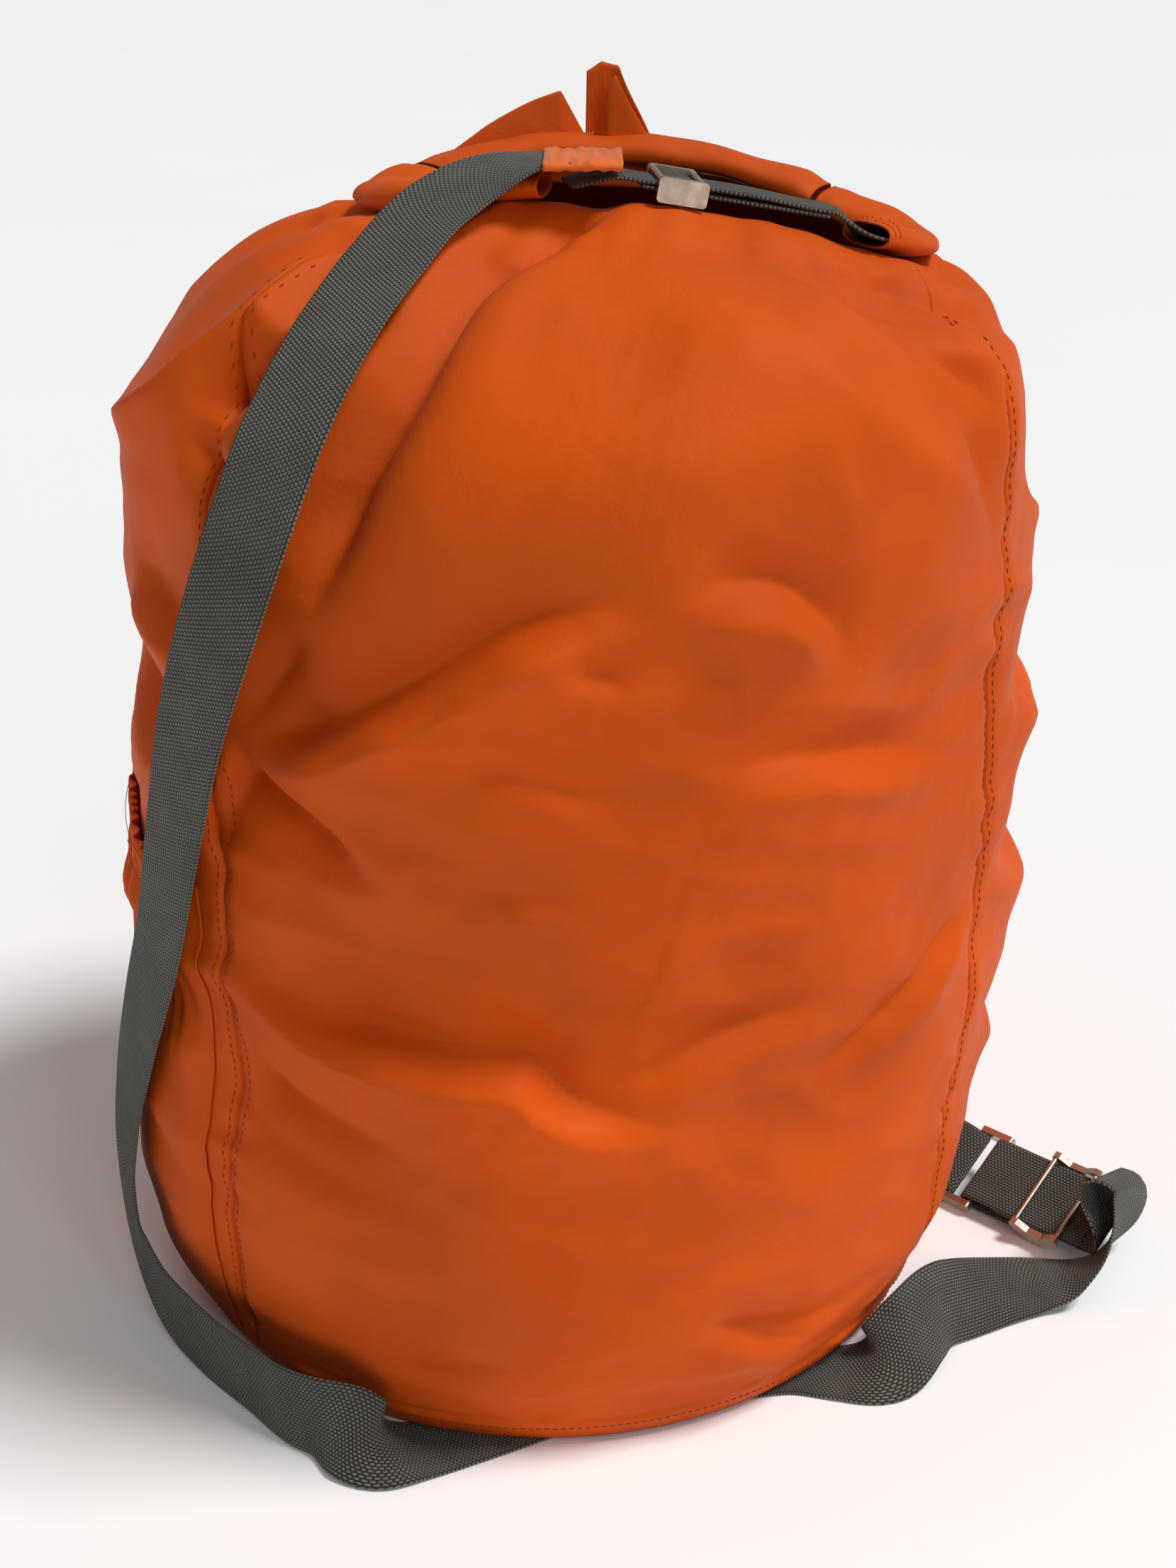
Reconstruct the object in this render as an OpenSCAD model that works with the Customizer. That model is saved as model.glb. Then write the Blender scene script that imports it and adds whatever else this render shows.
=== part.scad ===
// Rope storage bag: a round drawstring bucket bag with a sling strap.
// Millimetres, +Z up, origin at the centre of the base on the floor.
// The front faces -Y and the buckles lie on the floor at the right, +X.

/* [Body] */
// Width of the body at its fullest
body_d = 424; // [340:2:510]
// Width of the round base
base_d = 374; // [310:2:450]
// Height of the mouth's edge at its highest
mouth_h = 535; // [440:5:650]
// How far the filled body leans to the right
lean = 14; // [0:1:30]
// Thickness of the cloth walls
cloth_t = 1.6; // [1:0.1:3]
// Thickness of the stiffened base
base_t = 5; // [4:0.5:8]
// Angle of the front and the back panel, the rest being the two side panels
panel_arc = 107; // [90:1:125]
// How far the panels are turned about the upright axis
panel_turn = 8; // [0:1:20]

/* [Mouth] */
// Length of the mouth, left to right
mouth_l = 224; // [180:2:270]
// Width of the mouth, front to back
mouth_w = 100; // [80:2:140]
// How far the mouth's ends droop below its crest
droop = 22; // [0:1:30]
// Width of the closing webbing
closer_w = 25; // [20:1:30]
// How much wider the cloth casing is than the webbing in it
casing_slack = 6; // [5:0.5:12]
// Height of the cloth casing
casing_h = 10; // [7:0.5:12]
// Height of the collar's tallest fold above the crest
collar_h = 42; // [30:1:60]

/* [Pocket] */
// Height of the side pocket
pocket_h = 262; // [200:2:320]
// Width of the elastic in the pocket's hem
elastic_w = 16; // [10:1:25]
// Gap between the pocket and the body
pocket_gap = 3; // [2:0.5:6]

/* [Strap] */
// Width of the strap webbing
strap_w = 40; // [32:1:46]
// Thickness of all the webbing
web_t = 1.6; // [1.2:0.1:1.8]

/* [Buckles] */
// Thickness of the bars in the strap's ring
ring_bar = 4; // [3:0.5:5]
// Distance between the two bars of the ring
ring_gap = 14; // [12:1:18]
// Thickness of the bars in the strap's slider
glide_bar = 3; // [2.5:0.5:3.5]
// Length of the strap's slider along the strap
glide_l = 28; // [26:1:32]
// Distance from the ring's inner bar to the middle of the slider
glide_x = 57; // [55:1:62]
// Thickness of the bars in the mouth's slider
catch_bar = 2.6; // [2:0.2:3]
// Length of the mouth's slider along the webbing
catch_l = 21; // [18:1:26]
// Thickness of the end plates of all the buckles
plate_t = 3.5; // [2.5:0.5:4.5]

/* [Hidden] */

body_r = body_d / 2;
base_r = base_d / 2;
mouth_rx = mouth_l / 2;
mouth_ry = mouth_w / 2;
casing_w = closer_w + casing_slack;
mouth_x = 46;
mouth_y = -8;
crest_x = 20;

// Clearance between webbing and whatever it slides past
slip = 0.3;
// Gap left at the seams between neighbouring cloth pieces
seam_gap = 0.4;
seam_a = seam_gap / body_r * 90 / PI;
// Height of the walls' lower hem, which clears the strap under the bag
hem_z = 3.4;
// Angle between the columns of points on the walls
step_a = 4.5;

// Rings of the filled body, base to mouth: share of the height, share of the
// way from the base's radius to the body's, share of the way to the mouth
RINGS = [
  [0, 0.04, 0], [0.022, 0.3, 0], [0.056, 0.55, 0], [0.11, 0.78, 0], [0.2, 0.96, 0],
  [0.32, 1, 0], [0.46, 1, 0], [0.6, 0.98, 0], [0.71, 0.96, 0.01], [0.79, 0.96, 0.06],
  [0.855, 0.96, 0.16], [0.905, 0.96, 0.34], [0.945, 0.96, 0.58], [0.975, 0.96, 0.82], [1, 0.96, 1]
];
last_ring = len(RINGS) - 1;
RING_SHARES = [for (g = RINGS) [g[0], g[1]]];
// Share of the height below which the body still curves towards its lean
lean_share = 0.35;

// ---------- points on the body ----------

function unit(v) = v / norm(v);
function blend(a, b, t) = a + (b - a) * t;
function edge_z(x) = mouth_h - droop * pow((x - crest_x) / mouth_rx, 2);
function mouth_point(a, out = 0, up = 0) =
  let (x = mouth_x + (mouth_rx + out) * cos(a))
  [x, mouth_y + (mouth_ry + out) * sin(a), edge_z(mouth_x + mouth_rx * cos(a)) + up];
function ring_point(a, i) =
  let (g = RINGS[i])
  let (r = blend(base_r, body_r, g[1]))
  let (z = max(hem_z, g[0] * blend(mouth_h, mouth_point(a)[2], g[2])))
  blend([lean * min(1, g[0] / lean_share) + r * cos(a), r * sin(a), z], mouth_point(a), g[2]);
function ring_normal(a, i) =
  unit(cross(ring_point(a + 1, i) - ring_point(a - 1, i),
    ring_point(a, min(i + 1, last_ring)) - ring_point(a, max(i - 1, 0))));
function wall_point(a, i, out) = ring_point(a, i) + out * ring_normal(a, i);

// Point at height z on column a, between two rings
function ring_at(z, a, i = 0) =
  i >= last_ring - 1 || ring_point(a, i + 1)[2] >= z ? i : ring_at(z, a, i + 1);
function point_at(z, a, out) =
  let (i = ring_at(z, a))
  let (low = wall_point(a, i, out), high = wall_point(a, i + 1, out))
  blend(low, high, (z - low[2]) / (high[2] - low[2]));

function wall_grid(a0, a1, out) =
  let (n = ceil((a1 - a0) / step_a))
  [for (i = [0:last_ring]) [for (c = [0:n]) wall_point(a0 + (a1 - a0) * c / n, i, out)]];
function band_grid(z0, z1, rows, a0, a1, out) =
  let (n = ceil((a1 - a0) / step_a))
  [for (r = [0:rows]) [for (c = [0:n]) point_at(blend(z0, z1, r / rows), a0 + (a1 - a0) * c / n, out)]];

// ---------- solids from lists of points ----------

function two(a, b, c, d) = [[a, b, c], [a, c, d]];

// Closed solid between an outer and an inner grid, rows upwards and columns anticlockwise
module grid_solid(outer, inner) {
  rows = len(outer);
  cols = len(outer[0]);
  n = rows * cols;
  function o(r, c) = r * cols + c;
  function i(r, c) = n + r * cols + c;
  faces = concat(
    [for (r = [0:rows - 2], c = [0:cols - 2]) each two(o(r, c), o(r + 1, c), o(r + 1, c + 1), o(r, c + 1))],
    [for (r = [0:rows - 2], c = [0:cols - 2]) each two(i(r, c), i(r, c + 1), i(r + 1, c + 1), i(r + 1, c))],
    [for (c = [0:cols - 2]) each two(o(0, c), o(0, c + 1), i(0, c + 1), i(0, c))],
    [for (c = [0:cols - 2])
      each two(o(rows - 1, c + 1), o(rows - 1, c), i(rows - 1, c), i(rows - 1, c + 1))],
    [for (r = [0:rows - 2]) each two(o(r + 1, 0), o(r, 0), i(r, 0), i(r + 1, 0))],
    [for (r = [0:rows - 2])
      each two(o(r, cols - 1), o(r + 1, cols - 1), i(r + 1, cols - 1), i(r, cols - 1))]);
  polyhedron(concat([for (r = outer) each r], [for (r = inner) each r]), faces, convexity = 6);
}

// Share of the webbing's thickness taken by the slant of its edges
edge_share = 0.3;

// Flat section of webbing at p, w along its width and n through its thickness
function web_section(p, w, n, width, thick) =
  let (a = width / 2, b = thick / 2, e = thick * edge_share)
  [for (q = [[a, -b + e], [a, b - e], [a - e, b], [-a + e, b],
      [-a, b - e], [-a, -b + e], [-a + e, -b], [a - e, -b]])
    p + q[0] * w + q[1] * n];

// Solid swept through sections that all have the same number of points. The two halves of a
// section split their quads along the same diagonal, so a twisted band's faces stay apart
module sweep(sections) {
  n = len(sections);
  k = len(sections[0]);
  function s(j, m) = j * k + m % k;
  faces = concat(
    [for (j = [0:n - 2], m = [0:k / 2 - 1])
      each two(s(j, m), s(j + 1, m), s(j + 1, m + 1), s(j, m + 1))],
    [for (j = [0:n - 2], m = [k / 2:k - 1])
      each two(s(j + 1, m), s(j + 1, m + 1), s(j, m + 1), s(j, m))],
    [[for (m = [0:k - 1]) m]],
    [[for (m = [k - 1:-1:0]) s(n - 1, m)]]);
  polyhedron([for (q = sections) each q], faces, convexity = 6);
}

// Hollow sleeve swept between outer and inner sections
module sleeve(outer, inner) {
  n = len(outer);
  k = len(outer[0]);
  function o(j, m) = j * k + m % k;
  function i(j, m) = n * k + j * k + m % k;
  faces = concat(
    [for (j = [0:n - 2], m = [0:k - 1]) each two(o(j, m), o(j + 1, m), o(j + 1, m + 1), o(j, m + 1))],
    [for (j = [0:n - 2], m = [0:k - 1]) each two(i(j, m), i(j, m + 1), i(j + 1, m + 1), i(j + 1, m))],
    [for (m = [0:k - 1]) each two(o(0, m), o(0, m + 1), i(0, m + 1), i(0, m))],
    [for (m = [0:k - 1]) each two(o(n - 1, m + 1), o(n - 1, m), i(n - 1, m), i(n - 1, m + 1))]);
  polyhedron(concat([for (q = outer) each q], [for (q = inner) each q]), faces, convexity = 6);
}

// Direction of a path at one of its points
function heading(path, j) = unit(path[min(j + 1, len(path) - 1)] - path[max(j - 1, 0)]);

// Webbing along a path, with the way its face looks at each point
module webbing(path, faces, width, thick) {
  sweep([for (j = [0:len(path) - 1])
    let (t = heading(path, j))
    let (w = unit(cross(t, faces[j])))
    web_section(path[j], w, cross(t, w), width, thick)]);
}

// ---------- panels ----------

front_a0 = -90 + panel_turn - panel_arc / 2;
front_a1 = front_a0 + panel_arc;
back_a0 = front_a0 + 180;
back_a1 = front_a1 + 180;

module wall(a0, a1) {
  grid_solid(wall_grid(a0 + seam_a, a1 - seam_a, 0), wall_grid(a0 + seam_a, a1 - seam_a, -cloth_t));
}

module front_panel() {
  color("#c24a0c")
    wall(front_a0, front_a1);
}

module right_side_panel() {
  color("#b84409")
    wall(front_a1, back_a0);
}

module back_panel() {
  color("#a83c08")
    wall(back_a0, back_a1);
}

module left_side_panel() {
  color("#b84409")
    wall(back_a1, front_a0 + 360);
}

// The strap crosses under the base along a shallow channel
channel_x = 45;
channel_y = -154;
channel_turn = 14;
channel_w = strap_w + 16;
channel_h = web_t + 1.4;
binding_t = 3;
binding_h = 9;
// Narrowest place of the walls between the floor and the binding's top
foot_r = min(base_r, blend(base_r, body_r, lookup((channel_h + seam_gap + binding_h) / mouth_h, RING_SHARES)));
base_in_r = foot_r - cloth_t - 2 * seam_gap - binding_t;

module strap_channel() {
  translate([channel_x, channel_y, channel_h / 2 - 1])
    rotate([0, 0, channel_turn])
      cube([3 * base_r, channel_w, channel_h + 2], center = true);
}

module base_panel() {
  color("#7c2d06")
    difference() {
      cylinder(r = base_in_r, h = base_t, $fn = 96);
      strap_channel();
    }
}

// Bound seam that joins the walls to the base, inside the hem
module base_binding() {
  color("#8a3207")
    difference() {
      translate([0, 0, channel_h + seam_gap])
        cylinder(r = base_in_r + seam_gap / 2 + binding_t, h = binding_h, $fn = 96);
      cylinder(r = base_in_r + seam_gap / 2, h = 4 * binding_h, center = true, $fn = 96);
    }
}

// ---------- side pocket ----------

pocket_z0 = 14;
pocket_a0 = back_a1 + 4;
pocket_a1 = front_a0 + 360 - 4;
hem_h = elastic_w + 4;

module side_pocket() {
  color("#bd470b")
    grid_solid(
      band_grid(pocket_z0, pocket_h, 9, pocket_a0, pocket_a1, pocket_gap + cloth_t),
      band_grid(pocket_z0, pocket_h, 9, pocket_a0, pocket_a1, pocket_gap));
}

module pocket_elastic() {
  color("#e9e2d4")
    grid_solid(
      band_grid(pocket_h - hem_h + 2, pocket_h - 2, 2, pocket_a0 + 1, pocket_a1 - 1, pocket_gap - seam_gap),
      band_grid(pocket_h - hem_h + 2, pocket_h - 2, 2, pocket_a0 + 1, pocket_a1 - 1, pocket_gap - 1.6));
}

// ---------- mouth ----------

casing_up = casing_h / 2 + 1.5;
open_a0 = 249;
open_a1 = 324;

// Frame of the mouth's edge at parameter angle a
function mouth_way(a) = unit(mouth_point(a + 1) - mouth_point(a - 1));
function mouth_out(a) = unit(cross(mouth_way(a), [0, 0, 1]));
function casing_section(a, width, thick) =
  let (t = mouth_way(a), w = mouth_out(a))
  web_section(mouth_point(a, 0, casing_up), w, cross(t, w), width, thick);

module casing(a0, a1) {
  n = ceil((a1 - a0) / 12);
  sleeve(
    [for (j = [0:n]) casing_section(blend(a0, a1, j / n), casing_w, casing_h)],
    [for (j = [0:n]) casing_section(blend(a0, a1, j / n), casing_w - 2 * cloth_t, casing_h - 2 * cloth_t)]);
}

module casing_right() {
  color("#c84d0c")
    casing(open_a1 - 360, 44);
}

module casing_back() {
  color("#b0400a")
    casing(46, 148);
}

module casing_left() {
  color("#c84d0c")
    casing(150, open_a0);
}

// Straight run of the closing webbing across the front of the mouth
run_lift = 7;
run_start = mouth_point(open_a0, 0, casing_up + run_lift);
run_end = mouth_point(open_a1, 0, casing_up + run_lift);
run_way = unit(run_end - run_start);
run_side = unit(cross(run_way, [0, 0, 1]));
run_up = cross(run_side, run_way);
layer_up = web_t / 2 + slip / 2;
// The run's flat part, from its two ends, and the length over which the webbing eases onto it
flat_start = 34;
flat_end = 22;
flat_ease = 6;
// Distance from the run's start to the mouth's slider
catch_x = 52;

module closing_webbing() {
  lift = layer_up * run_up;
  arc = [for (a = [open_a1 - 348:12:open_a0 - 8]) mouth_point(a, 0, casing_up)];
  run = [run_start + (flat_start - flat_ease) * run_way + lift, run_start + flat_start * run_way + lift,
    run_end - flat_end * run_way + lift, run_end - (flat_end - flat_ease) * run_way + lift];
  path = concat([mouth_point(open_a0 + 3, 0, casing_up)], run, [mouth_point(open_a1, 0, casing_up)], arc);
  color("#5c5a50")
    webbing(path, [for (p = path) [0, 0, 1]], closer_w, web_t);
}

module closing_tail() {
  start = run_start + (flat_start + 2) * run_way - layer_up * run_up;
  end = run_end - (flat_end - 4) * run_way - layer_up * run_up;
  color("#565449")
    webbing([start, end], [run_up, run_up], closer_w, web_t);
}

// Slider with its two outer bars above both layers and its middle bar below them
catch_in = closer_w + 2;
catch_z = 2 * layer_up + catch_bar / 2 + slip;
module mouth_slider() {
  color("#cfc4a8")
    translate(run_start + catch_x * run_way)
      rotate([0, asin(-run_way[2]), 0])
        rotate([0, 0, atan2(run_way[1], norm([run_way[0], run_way[2]]))]) {
          for (side = [-1, 1]) {
            translate([side * (catch_l - catch_bar - 1) / 2, 0, catch_z])
              rotate([90, 0, 0])
                cylinder(d = catch_bar, h = catch_in + plate_t, center = true, $fn = 24);
            translate([0, side * (catch_in + plate_t) / 2, 0])
              rotate([90, 0, 0])
                buckle_plate(catch_l, 2 * catch_z + catch_bar + 0.6, plate_t, 1.8);
          }
          translate([0, 0, -catch_z])
            rotate([90, 0, 0])
              cylinder(d = catch_bar, h = catch_in + plate_t, center = true, $fn = 24);
        }
}

// Flat plate with round corners, its length along X and its height along Y
module buckle_plate(length, height, thick, corner) {
  linear_extrude(height = thick, center = true)
    union() {
      square([length - 2 * corner, height], center = true);
      square([length, height - 2 * corner], center = true);
      for (x = [-1, 1], y = [-1, 1])
        translate([x * (length / 2 - corner), y * (height / 2 - corner)])
          circle(r = corner, $fn = 24);
    }
}

// Cloth collar standing above the casing at the back of the mouth, its height
// at each angle a share of the tallest fold's
collar_z0 = casing_up + casing_h / 2 + 1;
module collar(angles, shares, thick) {
  rows = 3;
  function at(j, r, out) =
    mouth_point(angles[j], out, collar_z0 + shares[j] * (collar_h - collar_z0) * r / rows);
  last = len(angles) - 1;
  grid_solid(
    [for (r = [0:rows]) [for (j = [0:last]) at(j, r, thick / 2)]],
    [for (r = [0:rows]) [for (j = [0:last]) at(j, r, -thick / 2)]]);
}

module collar_left() {
  color("#b9450b")
    collar([103, 106, 110, 118, 130, 145, 158], [0.2, 0.45, 0.66, 0.5, 0.35, 0.22, 0.1], cloth_t);
}

module collar_right() {
  color("#cf520d")
    collar([86, 90, 95, 99, 101], [0.1, 0.4, 0.8, 1, 0.85], 2 * cloth_t);
}

// ---------- strap ----------

// Sizes that the strap's points are chosen for. With other sizes a point keeps its distance from the
// wall beside it, its share of the height and, on the floor, its clearance
drawn_r = 212;
drawn_base_r = 187;
drawn_h = 535;
drawn_w = 40;
// Points below floor_z lie by the floor, and those below flat_z lie flat on it
floor_z = 60;
flat_z = 4;
// Above shoulder_z the wall turns in to the mouth within shoulder_h
shoulder_z = 470;
shoulder_h = 80;
// Extra clearance for each millimetre that the body's radius differs
spare = 0.1;
function routed(p) =
  let (standing = p[2] > flat_z && p[2] < floor_z)
  let (fat = lookup((p[2] + (standing ? drawn_w / 2 : 0)) / drawn_h, RING_SHARES))
  let (near = 1 - max(0, min(1, (p[2] - shoulder_z) / shoulder_h)))
  let (extra = spare * abs(body_r - drawn_r) * fat)
  let (wall = near * (blend(base_r - drawn_base_r, body_r - drawn_r, fat) + extra))
  let (wider = p[2] < floor_z ? max(0, strap_w - drawn_w) / 2 : 0)
  let (high = p[2] >= floor_z ? (mouth_h - drawn_h) * min(1, p[2] / drawn_h) : standing ? wider : 0)
  p + unit([p[0], p[1], 0]) * (wall + wider) + [0, 0, high];

// Route of the strap, mouth to buckles: place, then the way its outer face looks
STRAP = [
  [[22, -58, 551], [0, 0, 1]], [[0, -59, 551], [0, 0, 1]], [[-16, -63, 548], [-0.1, -0.2, 1]],
  [[-40, -79, 537], [-0.3, -0.5, 0.8]], [[-60, -108, 519], [-0.4, -0.7, 0.6]],
  [[-79, -142, 496], [-0.45, -0.75, 0.5]], [[-95, -168, 467], [-0.5, -0.8, 0.35]],
  [[-109, -178, 432], [-0.55, -0.82, 0.2]], [[-124, -176, 392], [-0.6, -0.8, 0.1]],
  [[-140, -165, 345], [-0.7, -0.72, 0]], [[-154, -150, 290], [-0.76, -0.65, 0]],
  [[-168, -132, 232], [-0.82, -0.57, 0]], [[-186, -110, 172], [-0.88, -0.48, 0]],
  [[-200, -90, 118], [-0.92, -0.4, 0]], [[-206, -82, 76], [-0.93, -0.38, 0]],
  [[-202, -90, 42], [-0.92, -0.4, 0]], [[-188, -112, 25], [-0.86, -0.5, 0]],
  [[-165, -141, 21], [-0.74, -0.67, 0]], [[-137, -170, 21], [-0.65, -0.76, 0]],
  [[-114, -191, 21], [-0.5, -0.86, 0.1]], [[-100, -198, 21], [-0.35, -0.9, 0.2]],
  [[-88, -202, 18], [-0.2, -0.75, 0.6]], [[-75, -203, 9.5], [-0.1, -0.4, 0.9]],
  [[-59, -196, 1.4], [0, 0, 1]], [[-30, -182, 1], [0, 0, 1]],
  [[5, -165, 1], [0, 0, 1]], [[45, -153, 1], [0, 0, 1]],
  [[85, -143, 1], [0, 0, 1]], [[118, -138, 1], [0, 0, 1]],
  [[142, -143, 1.4], [0, 0, 1]], [[159, -146, 8], [0.1, -0.35, 0.9]],
  [[176, -133, 18], [0.2, -0.75, 0.6]], [[190, -115, 18.5], [0.3, -0.74, 0.57]],
  [[205, -102, 13.5], [0.4, -0.42, 0.7]], [[222, -90, 8.5], [0.25, -0.2, 0.8]],
  [[242, -81, 5], [0.1, -0.06, 0.9]], [[257, -78, 6], [-0.1, 0.1, 0.95]],
  [[270, -74, 10.5], [-0.45, 0.35, 0.8]], [[280, -69, 16], [-0.65, 0.5, 0.55]],
  [[288, -63, 24], [-0.75, 0.6, 0.3]], [[294, -57, 33], [-0.8, 0.6, -0.1]],
  [[296, -51, 42], [-0.75, 0.3, -0.6]], [[289, -45, 45], [-0.15, -0.3, -0.9]],
  [[283, -41, 41], [0.7, -0.7, -0.25]], [[284, -46, 34], [0.6, -0.45, 0.6]],
  [[289, -55, 24], [0.75, -0.65, 0.1]]
];

module strap() {
  joint = at_ring([tail_x, 0, layer_r]);
  path = concat([for (q = STRAP) routed(q[0])], [joint + 9 * way, joint]);
  looks = concat([for (q = STRAP) q[1]], [-up, -up]);
  color("#65635a")
    webbing(path, looks, strap_w, web_t);
}

// Sewn cloth sleeve that takes the strap's upper end at the mouth
module mouth_tab() {
  path = [for (p = [[2, -59, 551], [18, -58.2, 551], [34, -57.4, 551]]) routed(p)];
  n = [0, 0, 1];
  color("#d0662f")
    sleeve(
      [for (j = [0:2]) let (t = heading(path, j), w = unit(cross(t, n)))
        web_section(path[j], w, cross(t, w), strap_w + 5, web_t + 4)],
      [for (j = [0:2]) let (t = heading(path, j), w = unit(cross(t, n)))
        web_section(path[j], w, cross(t, w), strap_w + 1.4, web_t + 1.4)]);
}

// ---------- buckles at the strap's lower end ----------

// The buckles share a frame: its origin is on the ring's inner bar, way points
// along the doubled strap, side along the bars and up away from the floor
hinge = routed([224, 10, 15]);
turn_z = -42;
tilt_x = 26;
way = [cos(turn_z), sin(turn_z), 0];
side = [-sin(turn_z) * cos(tilt_x), cos(turn_z) * cos(tilt_x), sin(tilt_x)];
up = cross(way, side);
function at_ring(v) = hinge + v[0] * way + v[1] * side + v[2] * up;

module buckle_frame(x = 0) {
  translate(hinge)
    rotate([0, 0, turn_z])
      rotate([tilt_x, 0, 0])
        translate([x, 0, 0])
          children();
}

bar_in = strap_w + 1.6;
fold_r = glide_bar / 2 + 0.2 + web_t / 2;
layer_r = fold_r + web_t + slip;
rail_z = layer_r + web_t / 2 + slip + glide_bar / 2;
tail_x = glide_x + glide_l / 2 + 4;
fold_l = 27;

module strap_ring() {
  color("#b3a893")
    buckle_frame(ring_gap / 2) {
      for (s = [-1, 1]) {
        translate([s * ring_gap / 2, 0, 0])
          rotate([90, 0, 0])
            cylinder(d = ring_bar, h = bar_in + plate_t, center = true, $fn = 32);
        translate([0, s * (bar_in + plate_t) / 2, 0])
          rotate([90, 0, 0])
            buckle_plate(ring_gap + ring_bar + 2, ring_bar + 2, plate_t, 2);
      }
    }
}

// Slider: two outer bars above the strap and a lower middle bar that holds its sewn end
module strap_slider() {
  reach = (glide_l - glide_bar - 1) / 2;
  color("#b3a893")
    buckle_frame(glide_x) {
      for (s = [-1, 1]) {
        translate([s * reach, 0, rail_z])
          rotate([90, 0, 0])
            cylinder(d = glide_bar, h = bar_in + plate_t, center = true, $fn = 32);
        translate([0, s * (bar_in + plate_t) / 2, 0])
          rotate([90, 0, 0])
            linear_extrude(height = plate_t, center = true)
              polygon([[-glide_l / 2, rail_z - 1.6], [-glide_l / 2 + 1, rail_z - 2.6], [-7, -1.2], [-4, -2.4],
                [4, -2.4], [7, -1.2], [glide_l / 2 - 1, rail_z - 2.6], [glide_l / 2, rail_z - 1.6],
                [glide_l / 2, rail_z + 1], [glide_l / 2 - 1, rail_z + 2], [10, rail_z + 2], [4, rail_z - 2],
                [-4, rail_z - 2], [-10, rail_z + 2], [-glide_l / 2 + 1, rail_z + 2],
                [-glide_l / 2, rail_z + 1]]);
      }
      rotate([90, 0, 0])
        cylinder(d = glide_bar, h = bar_in + plate_t, center = true, $fn = 32);
    }
}

// Webbing whose middle line is a list of [x, z] in the buckles' frame
module strip(line) {
  path = [for (q = line) at_ring([q[0], 0, q[1]])];
  sweep([for (j = [0:len(line) - 1])
    let (t = heading(path, j))
    web_section(path[j], -side, cross(t, -side), strap_w, web_t)]);
}

// Doubled strap: the upper layer comes from the slider, turns round the ring and goes back below
module strap_tail() {
  bend = [for (a = [90:22.5:270]) [ring_gap + layer_r * cos(a), layer_r * sin(a)]];
  color("#605e54")
    strip(concat([[tail_x, layer_r], [glide_x, layer_r]], bend, [[glide_x - glide_l / 2, -layer_r]]));
}

// Sewn end of the strap, turned round the slider's middle bar
module strap_fold() {
  bend = [for (a = [90:-30:-90]) [glide_x + fold_r * cos(a), fold_r * sin(a)]];
  color("#57554b")
    strip(concat([[glide_x - fold_l, fold_r]], bend, [[glide_x - fold_l, -fold_r]]));
}

// Loop of webbing from the base's seam to the ring's inner bar
anchor_r = ring_bar / 2 + 0.5 + web_t / 2;
anchor_a = 13;
anchor_z = 15;
foot_out = web_t / 2 + 0.8 + spare * abs(body_r - drawn_r);
anchor_foot = point_at(anchor_z, anchor_a, foot_out);
anchor_way = unit(anchor_foot - hinge);
foot_gap = web_t / 2 + 0.1;
foot_clear = 3;

module anchor_loop() {
  foot_w = unit([-sin(anchor_a), cos(anchor_a), 0.25]);
  lift = unit(cross(foot_w, anchor_way));
  bend = [for (a = [90:-22.5:-90]) [anchor_r * cos(a), anchor_r * sin(a)]];
  start = anchor_foot - anchor_way * foot_clear;
  color("#5d5b51")
    sweep(concat(
      [web_section(start + foot_gap * lift, foot_w, lift, strap_w, web_t)],
      [for (q = bend) let (n = unit(q[0] * way + q[1] * up))
        web_section(at_ring([q[0], 0, q[1]]), side, n, strap_w, web_t)],
      [web_section(start - foot_gap * lift, foot_w, -lift, strap_w, web_t)]));
}

// Places of the stitch bars across the webbing
BARS = [for (k = [-1.5:1.5]) k * strap_w / 5];
bar_w = strap_w / 8;

module anchor_stitching() {
  share = 0.2;
  inner = 2 * blend(anchor_r, foot_gap, share) - web_t - 4 * slip;
  place = blend(hinge, anchor_foot, share);
  color("#8d8b7e")
    for (y = BARS)
      translate(place + y * side)
        rotate([0, 0, turn_z])
          rotate([tilt_x, 0, 0])
            cube([4, bar_w, inner], center = true);
}

// Bars of stitches through both layers of the sewn end
module fold_stitching() {
  inner = 2 * fold_r - web_t;
  color("#8d8b7e")
    buckle_frame(glide_x - fold_l + 8)
      for (y = BARS)
        translate([0, y, 0])
          cube([9, bar_w, inner], center = true);
}

front_panel();
right_side_panel();
back_panel();
left_side_panel();
base_panel();
base_binding();
side_pocket();
pocket_elastic();
casing_left();
casing_back();
casing_right();
collar_left();
collar_right();
closing_webbing();
closing_tail();
mouth_slider();
mouth_tab();
strap();
strap_tail();
strap_fold();
strap_slider();
strap_ring();
anchor_loop();
anchor_stitching();
fold_stitching();
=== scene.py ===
"""Looks of a round drawstring bag with a sling strap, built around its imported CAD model."""

import math

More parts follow.
